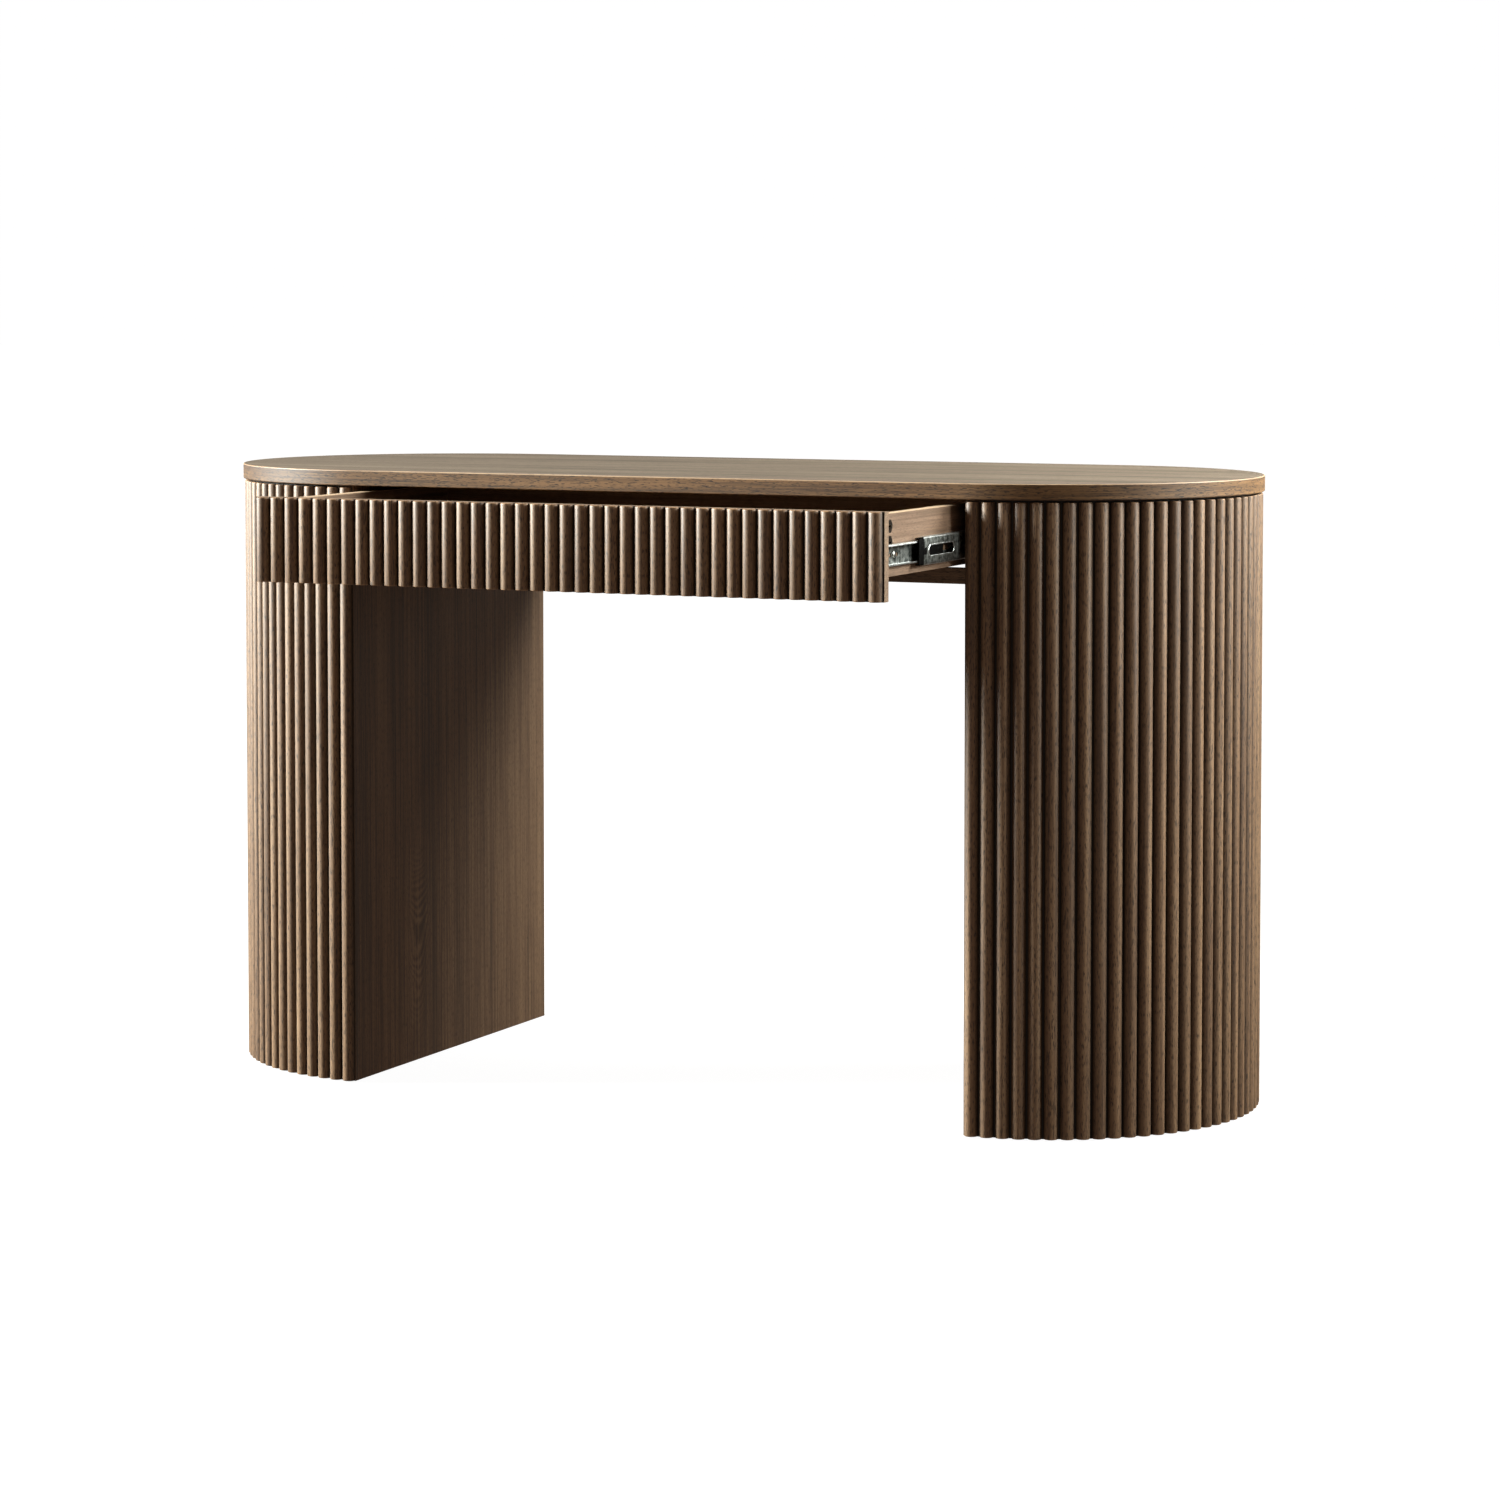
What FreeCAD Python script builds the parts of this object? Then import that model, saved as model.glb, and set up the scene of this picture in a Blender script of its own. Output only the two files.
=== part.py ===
import FreeCAD, Part
import math
import os
import re
import Sketcher

# A writing desk: a racetrack top on two half-round reeded pedestals, with one wide reeded drawer
# hung between them on three-member ball slides. The drawer stands part open, as photographed.
# The floor is z = 0, +X runs along the desk's length and the drawer opens towards -Y.

# Driving dimensions in millimetres, and counts
SIZES = {
    "desk_length": 1340,
    "desk_depth": 532,
    "desk_height": 760,
    "top_thickness": 19,
    "top_overhang": 2,
    "top_arris": 1.2,
    "floor_gap": 2,
    "shadow_gap": 2.5,
    "reed_pitch": 19,
    "reed_groove": 2,
    "reed_rise": 8,
    "reed_round": 0.6,
    "panel_thickness": 18,
    "core_thickness": 12,
    "plate_thickness": 18,
    "rib_height": 370,
    "glide_radius": 15,
    "glide_circle": 150,
    "glide_count": 3,
    "glide_spread": 120,
    "fixing_circle": 170,
    "fixing_count": 4,
    "fixing_spread": 135,
    "fixing_radius": 2.5,
    "fixing_head_radius": 4.5,
    "fixing_head_height": 3,
    "fixing_bite": 12,
    "drawer_open": 235,
    "drawer_gap": 3,
    "front_thickness": 12,
    "front_height": 100,
    "front_margin": 1,
    "box_drop": 4,
    "box_height": 70,
    "box_depth": 430,
    "box_board": 15,
    "bottom_thickness": 6,
    "bottom_rise": 5,
    "groove_depth": 6,
    "cam_radius": 7.5,
    "cam_depth": 11.5,
    "cam_setback": 27,
    "cam_drop": 14,
    "cam_spacing": 18,
    "cam_cross": 8,
    "cam_slot": 1.8,
    "cam_recess": 4,
    "cam_bolt_radius": 3.5,
    "cam_bolt_bite": 8,
    "rail_clearance": 4,
    "rail_height": 18,
    "rail_depth": 20,
    "rail_setback": 2,
    "apron_thickness": 12,
    "dowel_radius": 4,
    "dowel_bite": 12,
    "dowel_reach": 20,
    "apron_dowel_spacing": 50,
    "bracket_width": 22,
    "bracket_leg": 30,
    "bracket_steel": 2,
    "bracket_count": 3,
    "bracket_spacing": 270,
    "bracket_screw_drop": 18,
    "bracket_screw_length": 10,
    "slide_thickness": 12.7,
    "slide_length": 400,
    "slide_steel": 1,
    "slide_setback": 25.5,
    "slide_rise": 24,
    "slide_play": 0.3,
    "outer_height": 42,
    "outer_flange": 9.5,
    "middle_height": 32.5,
    "middle_length": 390,
    "middle_flange": 8.2,
    "middle_share": 0.6667,
    "web_gap": 1.8,
    "inner_height": 24.5,
    "inner_length": 400,
    "inner_flange": 7.5,
    "inner_setback": 2,
    "slot_length": 76,
    "slot_height": 11,
    "slot_inset": 15,
    "slot_rim": 1.6,
    "slot_rim_rise": 0.4,
    "bumper_length": 14,
    "bumper_wall": 1.6,
    "bumper_lip": 5.2,
    "bumper_height": 31,
    "cage_steel": 0.6,
    "cage_length": 100,
    "outer_cage_start": 145,
    "inner_cage_start": 150,
    "ball_count": 6,
    "screw_radius": 1.8,
    "screw_length": 11,
    "screw_head_radius": 3.6,
    "screw_head_height": 1.1,
    "screw_count": 3,
    "screw_inset": 34,
    "screw_spacing": 176,
}

# Sizes and places worked out from the driving dimensions
LAYOUT = {
    "knee_half": "(desk_length - desk_depth) / 2",
    "top_radius": "desk_depth / 2",
    "reed_radius": "desk_depth / 2 - top_overhang",
    "core_radius": "desk_depth / 2 - top_overhang - reed_rise",
    "core_inner": "core_radius - core_thickness",
    "carcass_top": "desk_height - top_thickness",
    "carcass_height": "carcass_top - floor_gap",
    "reed_width": "reed_pitch - reed_groove",
    "reed_arc": "(reed_width ^ 2 / 4 + reed_rise ^ 2) / (2 * reed_rise)",
    "reed_count": "floor(pi * reed_radius / reed_pitch)",
    "reed_length": "carcass_height - shadow_gap",
    "desk_y": "(drawer_open - top_overhang) / 2",
    "drawer_y": "desk_y - drawer_open",
    "middle_y": "desk_y - drawer_open * middle_share",
    "outer_cage_y": "desk_y - drawer_open * middle_share / 2",
    "inner_cage_y": "desk_y - drawer_open * (1 + middle_share) / 2",
    "front_half": "knee_half - drawer_gap",
    "front_reeds": "floor((2 * front_half - 2 * front_margin) / reed_pitch)",
    "front_pitch": "(2 * front_half - 2 * front_margin) / front_reeds",
    "front_top": "carcass_top - drawer_gap",
    "front_bottom": "front_top - front_height",
    "front_back": "front_thickness - core_radius",
    "apron_inside": "core_radius - apron_thickness",
    "side_outer": "knee_half - slide_thickness",
    "side_inner": "side_outer - box_board",
    "box_top": "front_top - box_drop",
    "box_bottom": "box_top - box_height",
    "box_back": "front_back + box_depth",
    "slide_z": "box_bottom + slide_rise",
    "slide_front": "front_back + slide_setback",
    "inner_front": "front_back + inner_setback",
    "rail_top": "box_bottom - rail_clearance",
    "rail_bottom": "rail_top - rail_height",
    "rail_front": "front_back + rail_setback",
    "middle_web": "slide_steel + web_gap",
    "middle_race": "middle_height / 2 - slide_steel",
    "outer_race": "outer_height / 2 - slide_steel",
    "outer_ball": "(outer_race - middle_height / 2) / 2 - slide_play",
    "inner_ball": "(middle_race - inner_height / 2) / 2 - slide_play",
    "outer_ball_z": "(outer_race + middle_height / 2) / 2",
    "inner_ball_z": "(middle_race + inner_height / 2) / 2",
    "outer_ball_x": "middle_web + middle_flange / 2",
    "inner_ball_x": "slide_thickness - inner_flange / 2",
    "ball_pitch": "cage_length / ball_count",
    "cam_upper": "box_top - cam_drop",
}

doc = FreeCAD.newDocument("WritingDesk")
nodes = []


def make_sheet(name, rows):
    sheet = doc.addObject("Spreadsheet::Sheet", name)
    for row, (alias, content) in enumerate(rows.items(), start=1):
        sheet.set(f"A{row}", alias)
        sheet.setAlias(f"B{row}", alias)
        sheet.set(f"B{row}", content)
    doc.recompute()
    return sheet


def bound(text):
    """Turn the plain names in a formula into references to the two sheets."""
    def reference(match):
        word = match.group(0)
        if word in SIZES:
            return "Sizes." + word
        if word in LAYOUT:
            return "Layout." + word
        return word
    return re.sub(r"[a-z_]+", reference, text)


sizes = make_sheet("Sizes", {alias: str(size) for alias, size in SIZES.items()})
layout = make_sheet("Layout", {alias: "=" + bound(text) for alias, text in LAYOUT.items()})
reader = make_sheet("Reader", {})


def number(alias):
    return float(getattr(sizes if alias in SIZES else layout, alias))


def bind(item, **formulas):
    for path, text in formulas.items():
        item.setExpression(path, bound(text))


def place(item, x="0", y="desk_y", z="0"):
    for axis, text in zip("xyz", (x, y, z)):
        item.setExpression("Placement.Base." + axis, bound(text))


def turn(item, axis, angle):
    item.Placement = FreeCAD.Placement(FreeCAD.Vector(), FreeCAD.Rotation(axis, angle))


def finish(item, label):
    """Name a finished sub-part; its label also names its file."""
    item.Label = label
    nodes.append(item)
    return item


UP = FreeCAD.Vector(0, 0, 1)
DEEP = FreeCAD.Vector(0, 1, 0)
SIDES = ("left", "right")


# Building blocks shared by the sub-parts

def board(name, x, y, z):
    """A rectangular board between pairs of formulas along each axis."""
    box = doc.addObject("Part::Box", name)
    for path, (low, high) in zip(("Length", "Width", "Height"), (x, y, z)):
        box.setExpression(path, bound(f"({high}) - ({low})"))
    place(box, x[0], y[0], z[0])
    return box


def bored(base, tools):
    """Cut the seats of fittings and let-in boards out of a board."""
    for tool in tools:
        cut = doc.addObject("Part::Cut", base.Name + "Bored")
        cut.Base = base
        cut.Tool = tool
        base = cut
    return base


def new_body(name, several=False):
    body = doc.addObject("PartDesign::Body", name)
    body.AllowCompound = several
    return body


def origin_feature(body, role):
    return next(item for item in body.Origin.OriginFeatures if item.Role == role)


def new_sketch(body, plane):
    sketch = body.newObject("Sketcher::SketchObject", body.Name + "Sketch")
    sketch.AttachmentSupport = (origin_feature(body, plane), [""])
    sketch.MapMode = "FlatFace"
    return sketch


def hold(sketch, kind, *where, to):
    """Add a sized constraint and bind it to a formula."""
    index = sketch.addConstraint(Sketcher.Constraint(kind, *where, formula_value(to)))
    sketch.setExpression(f"Constraints[{index}]", bound(to))


def formula_value(text):
    """The present value of a formula, read through a spare sheet that nothing else uses."""
    reader.set("A1", "=" + bound(text))
    reader.recompute()
    return float(reader.get("A1"))


def polygon(body, plane, corners):
    """A closed outline of straight edges whose corners are pairs of formulas."""
    sketch = new_sketch(body, plane)
    points = [FreeCAD.Vector(formula_value(x), formula_value(y), 0) for x, y in corners]
    for start, end in zip(points, points[1:] + points[:1]):
        sketch.addGeometry(Part.LineSegment(start, end))
    for edge, (x, y) in enumerate(corners):
        before = (edge - 1) % len(corners)
        sketch.addConstraint(Sketcher.Constraint("Coincident", before, 2, edge, 1))
        hold(sketch, "DistanceX", -1, 1, edge, 1, to=x)
        hold(sketch, "DistanceY", -1, 1, edge, 1, to=y)
    return sketch


def circle(body, plane, x, y, radius):
    sketch = new_sketch(body, plane)
    centre = FreeCAD.Vector(formula_value(x), formula_value(y), 0)
    sketch.addGeometry(Part.Circle(centre, UP, formula_value(radius)))
    hold(sketch, "DistanceX", -1, 1, 0, 3, to=x)
    hold(sketch, "DistanceY", -1, 1, 0, 3, to=y)
    hold(sketch, "Radius", 0, to=radius)
    return sketch


def pad(body, sketch, length, backwards=False):
    feature = body.newObject("PartDesign::Pad", body.Name + "Pad")
    feature.Profile = sketch
    feature.Reversed = backwards
    bind(feature, Length=length)
    return feature


def pocket_through(body, sketch):
    """A pocket through everything on both sides of its sketch."""
    feature = body.newObject("PartDesign::Pocket", body.Name + "Pocket")
    feature.Profile = sketch
    feature.Type = "ThroughAll"
    feature.Midplane = True
    return feature


def row(body, features, axis, length, count):
    """Repeat features in a straight row along one of the body's axes."""
    pattern = body.newObject("PartDesign::LinearPattern", body.Name + "Row")
    pattern.Originals = features
    pattern.Direction = (origin_feature(body, axis), [""])
    bind(pattern, Length=length, Occurrences=count)
    body.Tip = pattern
    return pattern


def fan(body, features, angle, count):
    """Repeat features round the body's Z axis."""
    pattern = body.newObject("PartDesign::PolarPattern", body.Name + "Fan")
    pattern.Originals = features
    pattern.Axis = (origin_feature(body, "Z_Axis"), [""])
    bind(pattern, Angle=angle, Occurrences=count)
    body.Tip = pattern
    return pattern


def mirror(body, features, plane):
    pattern = body.newObject("PartDesign::Mirrored", body.Name + "Mirror")
    pattern.Originals = features
    pattern.MirrorPlane = (origin_feature(body, plane), [""])
    body.Tip = pattern
    return pattern


# Desk top

def racetrack(body):
    """Two half circles joined by straight edges, centred on the origin."""
    sketch = new_sketch(body, "XY_Plane")
    radius = number("top_radius")
    half = number("knee_half")
    quarter = math.pi / 2
    ends = [(half, -quarter), (-half, quarter)]
    for x, start in ends:
        outline = Part.Circle(FreeCAD.Vector(x, 0, 0), UP, radius)
        sketch.addGeometry(Part.ArcOfCircle(outline, start, start + math.pi))
    for sign in (1, -1):
        start = FreeCAD.Vector(sign * half, sign * radius, 0)
        end = FreeCAD.Vector(-sign * half, sign * radius, 0)
        sketch.addGeometry(Part.LineSegment(start, end))
    for arc, straight, following in ((0, 2, 1), (1, 3, 0)):
        sketch.addConstraint(Sketcher.Constraint("Coincident", arc, 2, straight, 1))
        sketch.addConstraint(Sketcher.Constraint("Coincident", straight, 2, following, 1))
    for arc, reach in ((0, "knee_half"), (1, "-knee_half")):
        sketch.addConstraint(Sketcher.Constraint("PointOnObject", arc, 3, -1))
        sketch.addConstraint(Sketcher.Constraint("Vertical", arc, 1, arc, 3))
        sketch.addConstraint(Sketcher.Constraint("Vertical", arc, 2, arc, 3))
        hold(sketch, "DistanceX", -1, 1, arc, 3, to=reach)
        hold(sketch, "Radius", arc, to="top_radius")
    return sketch


def desk_top(tools):
    body = new_body("DeskTop")
    slab = pad(body, racetrack(body), "top_thickness")
    doc.recompute()
    faces = enumerate(slab.Shape.Faces, start=1)
    flat = [f"Face{index}" for index, face in faces if abs(face.normalAt(0, 0).z) > 0.9]
    arris = body.newObject("PartDesign::Fillet", "DeskTopArris")
    arris.Base = (slab, flat)
    bind(arris, Radius="top_arris")
    body.Tip = arris
    place(body, z="carcass_top")
    finish(bored(body, tools), "desk_top")


# Pedestals: each is drawn as the right one, about the middle of its flat inner face

def round_outline(body, corners, arcs):
    """An outline whose numbered edges are arcs about the origin. A corner is a formula for x, the
    radius of the circle it lies on, and the sign of y there."""
    sketch = new_sketch(body, "XY_Plane")
    points = []
    for x, radius, sign in corners:
        across = formula_value(x)
        aside = math.sqrt(formula_value(radius) ** 2 - across ** 2)
        points.append(FreeCAD.Vector(across, sign * aside, 0))
    followers = points[1:] + points[:1]
    first_end = []
    for edge, (start, end) in enumerate(zip(points, followers)):
        if edge in arcs:
            angles = sorted((math.atan2(start.y, start.x), math.atan2(end.y, end.x)))
            sketch.addGeometry(Part.ArcOfCircle(Part.Circle(FreeCAD.Vector(), UP, start.Length), *angles))
        else:
            sketch.addGeometry(Part.LineSegment(start, end))
        first_end.append(2 if edge in arcs and start.y > end.y else 1)
    for edge, (x, radius, sign) in enumerate(corners):
        before = (edge - 1) % len(corners)
        meeting = (before, 3 - first_end[before], edge, first_end[edge])
        sketch.addConstraint(Sketcher.Constraint("Coincident", *meeting))
        hold(sketch, "DistanceX", -1, 1, edge, first_end[edge], to=x)
        if edge in arcs:
            sketch.addConstraint(Sketcher.Constraint("Coincident", edge, 3, -1, 1))
            hold(sketch, "Radius", edge, to=radius)
    return sketch


def pedestal_frame(body, side, z, start="0"):
    """Stand a pedestal piece on its own side, turned on by a start angle; the left one is the
    right one turned half round."""
    place(body, "knee_half" if side == "right" else "-knee_half", "desk_y", z)
    half_turn = "0" if side == "right" else "180"
    body.setExpression("Placement.Rotation.Angle", bound(f"{half_turn} + {start}"))
    return body


def inner_panel(side, tools):
    body = new_body(f"{side}Panel")
    corners = [("0", "core_radius", -1), ("panel_thickness", "core_radius", -1),
               ("panel_thickness", "core_radius", 1), ("0", "core_radius", 1)]
    pad(body, round_outline(body, corners, (0, 2)), "carcass_height")
    pedestal_frame(body, side, "floor_gap")
    finish(bored(body, tools), f"{side}_inner_panel")


def curved_core(side):
    body = new_body(f"{side}Core")
    corners = [("panel_thickness", "core_inner", -1), ("panel_thickness", "core_radius", -1),
               ("panel_thickness", "core_radius", 1), ("panel_thickness", "core_inner", 1)]
    pad(body, round_outline(body, corners, (1, 3)), "carcass_height")
    finish(pedestal_frame(body, side, "floor_gap"), f"{side}_curved_core")


def half_plate(side, label, z, tools=()):
    body = new_body(f"{side}{label}")
    corners = [("panel_thickness", "core_inner", -1), ("panel_thickness", "core_inner", 1)]
    pad(body, round_outline(body, corners, (0,)), "plate_thickness")
    pedestal_frame(body, side, z)
    finish(bored(body, tools), f"{side}_{label}")


def reed_profile(body, across, base):
    """The half-round section of one reed, bulging towards -Y from its flat base."""
    sketch = new_sketch(body, "XY_Plane")
    width = number("reed_width")
    radius = number("reed_arc")
    centre = FreeCAD.Vector(formula_value(across), formula_value(base) - number("reed_rise") + radius, 0)
    half_angle = math.acos(max(-1, (radius - number("reed_rise")) / radius))
    down = -math.pi / 2
    outline = Part.Circle(centre, UP, radius)
    sketch.addGeometry(Part.ArcOfCircle(outline, down - half_angle, down + half_angle))
    right = FreeCAD.Vector(centre.x + width / 2, formula_value(base), 0)
    left = FreeCAD.Vector(centre.x - width / 2, formula_value(base), 0)
    sketch.addGeometry(Part.LineSegment(right, left))
    sketch.addConstraint(Sketcher.Constraint("Coincident", 0, 2, 1, 1))
    sketch.addConstraint(Sketcher.Constraint("Coincident", 0, 1, 1, 2))
    sketch.addConstraint(Sketcher.Constraint("Horizontal", 1))
    hold(sketch, "DistanceX", -1, 1, 1, 1, to=f"{across} + reed_width / 2")
    hold(sketch, "DistanceX", -1, 1, 1, 2, to=f"{across} - reed_width / 2")
    hold(sketch, "DistanceY", -1, 1, 1, 1, to=base)
    hold(sketch, "Radius", 0, to="reed_arc")
    return sketch


def reed(body, across, base, length):
    """One reed with its two ends eased."""
    stick = pad(body, reed_profile(body, across, base), length)
    doc.recompute()
    edges = enumerate(stick.Shape.Edges, start=1)
    round_edges = [f"Edge{index}" for index, edge in edges if edge.Curve.TypeId == "Part::GeomCircle"]
    ease = body.newObject("PartDesign::Chamfer", body.Name + "Ease")
    ease.Base = (stick, round_edges)
    bind(ease, Size="reed_round")
    body.Tip = ease
    return [stick, ease]


def pedestal_reeds(side):
    body = new_body(f"{side}Reeds", several=True)
    features = reed(body, "0", "-core_radius", "reed_length")
    fan(body, features, "180 * (reed_count - 1) / reed_count", "reed_count")
    finish(pedestal_frame(body, side, "floor_gap", "90 / reed_count"), f"{side}_reeds")


def glides(side):
    body = new_body(f"{side}Glides", several=True)
    disc = pad(body, circle(body, "XY_Plane", "glide_circle", "0", "glide_radius"), "floor_gap")
    fan(body, [disc], "glide_spread", "glide_count")
    finish(pedestal_frame(body, side, "0", "-glide_spread / 2"), f"{side}_glides")


def top_screws(side):
    """Screws driven up through a pedestal's top plate into the desk top."""
    body = new_body(f"{side}TopScrews", several=True)
    shank_sketch = circle(body, "XY_Plane", "fixing_circle", "0", "fixing_radius")
    shank = pad(body, shank_sketch, "plate_thickness + fixing_bite")
    head_sketch = circle(body, "XY_Plane", "fixing_circle", "0", "fixing_head_radius")
    head = pad(body, head_sketch, "fixing_head_height", backwards=True)
    fan(body, [shank, head], "fixing_spread", "fixing_count")
    pedestal_frame(body, side, "carcass_top - plate_thickness", "-fixing_spread / 2")
    return finish(body, f"{side}_top_screws")


# Rail and apron between the pedestals

def paired(body, features, axis, spacing, count, plane):
    """Repeat features in a row along one axis, then mirror the row."""
    places = body.newObject("PartDesign::MultiTransform", body.Name + "Places")
    places.Originals = features
    line = body.newObject("PartDesign::LinearPattern", body.Name + "Line")
    line.Direction = (origin_feature(body, axis), [""])
    bind(line, Length=spacing, Occurrences=count)
    pair = body.newObject("PartDesign::Mirrored", body.Name + "Pair")
    pair.MirrorPlane = (origin_feature(body, plane), [""])
    places.Transformations = [line, pair]
    body.Tip = places


def end_dowel(body):
    section = circle(body, "YZ_Plane", "0", "0", "dowel_radius")
    section.setExpression("AttachmentOffset.Base.z", bound("knee_half - dowel_reach"))
    return pad(body, section, "dowel_reach + dowel_bite")


def rail_dowels():
    """One dowel across each end joint of the rail."""
    body = new_body("RailDowels", several=True)
    mirror(body, [end_dowel(body)], "YZ_Plane")
    place(body, y="desk_y + rail_front + rail_depth / 2", z="rail_bottom + rail_height / 2")
    return finish(body, "rail_dowels")


def apron_dowels():
    """Two dowels, one above the other, across each end joint of the apron."""
    body = new_body("ApronDowels", several=True)
    paired(body, [end_dowel(body)], "Z_Axis", "apron_dowel_spacing", "2", "YZ_Plane")
    place(body, y="desk_y + core_radius - apron_thickness / 2",
          z="(front_bottom + carcass_top - apron_dowel_spacing) / 2")
    return finish(body, "apron_dowels")


def front_rail(tools):
    rail = board("FrontRail", ("-knee_half", "knee_half"),
                 ("desk_y + rail_front", "desk_y + rail_front + rail_depth"), ("rail_bottom", "rail_top"))
    finish(bored(rail, tools), "front_rail")


def rear_apron(tools):
    panel = board("RearApron", ("-knee_half", "knee_half"),
                  ("desk_y + apron_inside", "desk_y + core_radius"), ("front_bottom", "carcass_top"))
    finish(bored(panel, tools), "rear_apron_panel")


def front_reed_row(body, length):
    features = reed(body, "front_pitch / 2 - front_half + front_margin", "-core_radius", length)
    row(body, features, "X_Axis", "front_pitch * (front_reeds - 1)", "front_reeds")


def apron_reeds():
    body = new_body("ApronReeds", several=True)
    front_reed_row(body, "carcass_top - shadow_gap - front_bottom")
    turn(body, UP, 180)
    place(body, z="front_bottom")
    finish(body, "rear_apron_reeds")


def bracket_row(body, features):
    """Repeat one bracket's features along the apron, in the corner under the desk top."""
    reach = "bracket_spacing * (bracket_count - 1)"
    row(body, features, "X_Axis", reach, "bracket_count")
    place(body, f"-{reach} / 2", "desk_y + apron_inside", "carcass_top")
    return body


def bracket_screws():
    """Two screws in each bracket, one into the apron and one up into the desk top."""
    body = new_body("BracketScrews", several=True)
    features = []
    legs = (("XZ_Plane", "bracket_steel", False), ("XY_Plane", "-bracket_steel", True))
    shank = ("screw_radius", "bracket_screw_length", True)
    head = ("screw_head_radius", "screw_head_height", False)
    for plane, face, forwards in legs:
        for radius, length, into in (shank, head):
            sketch = circle(body, plane, "0", "-bracket_screw_drop", radius)
            sketch.setExpression("AttachmentOffset.Base.z", bound(face))
            features.append(pad(body, sketch, length, backwards=into != forwards))
    return finish(bracket_row(body, features), "apron_bracket_screws")


def apron_brackets(tools):
    """Steel angles that hold the desk top down to the apron's inner face."""
    body = new_body("ApronBrackets", several=True)
    corners = [("0", "0"), ("-bracket_leg", "0"), ("-bracket_leg", "-bracket_steel"),
               ("-bracket_steel", "-bracket_steel"), ("-bracket_steel", "-bracket_leg"),
               ("0", "-bracket_leg")]
    section = polygon(body, "YZ_Plane", corners)
    section.setExpression("AttachmentOffset.Base.z", bound("-bracket_width / 2"))
    bracket_row(body, [pad(body, section, "bracket_width")])
    finish(bored(body, tools), "apron_brackets")


# Drawer: every piece is drawn for the shut drawer and moved out with drawer_y

def drawer_front(tools):
    panel = board("DrawerFront", ("-front_half", "front_half"),
                  ("drawer_y - core_radius", "drawer_y + front_back"), ("front_bottom", "front_top"))
    finish(bored(panel, tools), "drawer_front_panel")


def drawer_front_reeds():
    body = new_body("DrawerReeds", several=True)
    front_reed_row(body, "front_height")
    place(body, y="drawer_y", z="front_bottom")
    finish(body, "drawer_front_reeds")


def drawer_side(side, tools):
    edges = ("side_inner", "side_outer") if side == "right" else ("-side_outer", "-side_inner")
    wall = board(f"{side}DrawerSide", edges,
                 ("drawer_y + front_back", "drawer_y + box_back"), ("box_bottom", "box_top"))
    finish(bored(wall, tools), f"drawer_{side}_side")


def drawer_back(tools):
    wall = board("DrawerBack", ("-side_inner", "side_inner"),
                 ("drawer_y + box_back - box_board", "drawer_y + box_back"), ("box_bottom", "box_top"))
    finish(bored(wall, tools), "drawer_back")


def drawer_bottom():
    """A thin board let into grooves in the front, the sides and the back."""
    front = "drawer_y + front_back - groove_depth"
    back = "drawer_y + box_back - box_board + groove_depth"
    under = "box_bottom + bottom_rise"
    sheet = board("DrawerBottom", ("-side_inner - groove_depth", "side_inner + groove_depth"),
                  (front, back), (under, f"{under} + bottom_thickness"))
    return finish(sheet, "drawer_bottom")


def cross_outline(body, plane):
    """The cross-shaped driver recess of a cam lock."""
    long_arm = "cam_cross / 2"
    slim_arm = "cam_slot / 2"
    quarter = [(long_arm, slim_arm), (slim_arm, slim_arm), (slim_arm, long_arm)]
    corners = []
    for x_sign, y_sign, order in ((1, 1, 1), (-1, 1, -1), (-1, -1, 1), (1, -1, -1)):
        corners += [(f"{x_sign} * {x}", f"{y_sign} * {y}") for x, y in quarter[::order]]
    return polygon(body, plane, corners)


def cam_frame(body, side):
    """Stand the cams at the front of a drawer side, lower cam first."""
    turn(body, UP, 0 if side == "right" else 180)
    place(body, "side_outer" if side == "right" else "-side_outer", "drawer_y + front_back + cam_setback",
          "cam_upper - cam_spacing")
    return body


def cam_bores(side):
    """The plain round seats of the cams, used to cut the drawer side."""
    body = new_body(f"{side}CamBores", several=True)
    disc = pad(body, circle(body, "YZ_Plane", "0", "0", "cam_radius"), "cam_depth", backwards=True)
    row(body, [disc], "Z_Axis", "cam_spacing", "2")
    return cam_frame(body, side)


def drawer_cams(side):
    """Round cam locks let into the outer face of a drawer side, each with a cross recess."""
    body = new_body(f"{side}Cams", several=True)
    disc = pad(body, circle(body, "YZ_Plane", "0", "0", "cam_radius"), "cam_depth", backwards=True)
    recess = body.newObject("PartDesign::Pocket", f"{side}CamRecess")
    recess.Profile = cross_outline(body, "YZ_Plane")
    bind(recess, Length="cam_recess")
    row(body, [disc, recess], "Z_Axis", "cam_spacing", "2")
    finish(cam_frame(body, side), f"drawer_{side}_cams")


def drawer_cam_bolts():
    """Bolts from the drawer front into the ends of both sides, each drawn up by its cam."""
    body = new_body("CamBolts", several=True)
    section = circle(body, "XZ_Plane", "side_outer - box_board / 2", "0", "cam_bolt_radius")
    section.setExpression("AttachmentOffset.Base.z", bound("cam_bolt_bite"))
    bolt = pad(body, section, "cam_bolt_bite + cam_setback - cam_radius", backwards=True)
    paired(body, [bolt], "Z_Axis", "cam_spacing", "2", "YZ_Plane")
    place(body, y="drawer_y + front_back", z="cam_upper - cam_spacing")
    return finish(body, "drawer_cam_bolts")


# Slides: each is drawn as the right one, from the face it is screwed to, front end at y = 0

def slide_frame(body, side, y):
    """Hang a slide piece on its own side; the left one is the right one turned over."""
    turn(body, DEEP, 0 if side == "right" else 180)
    place(body, "knee_half" if side == "right" else "-knee_half", y, "slide_z")
    return body


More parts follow.
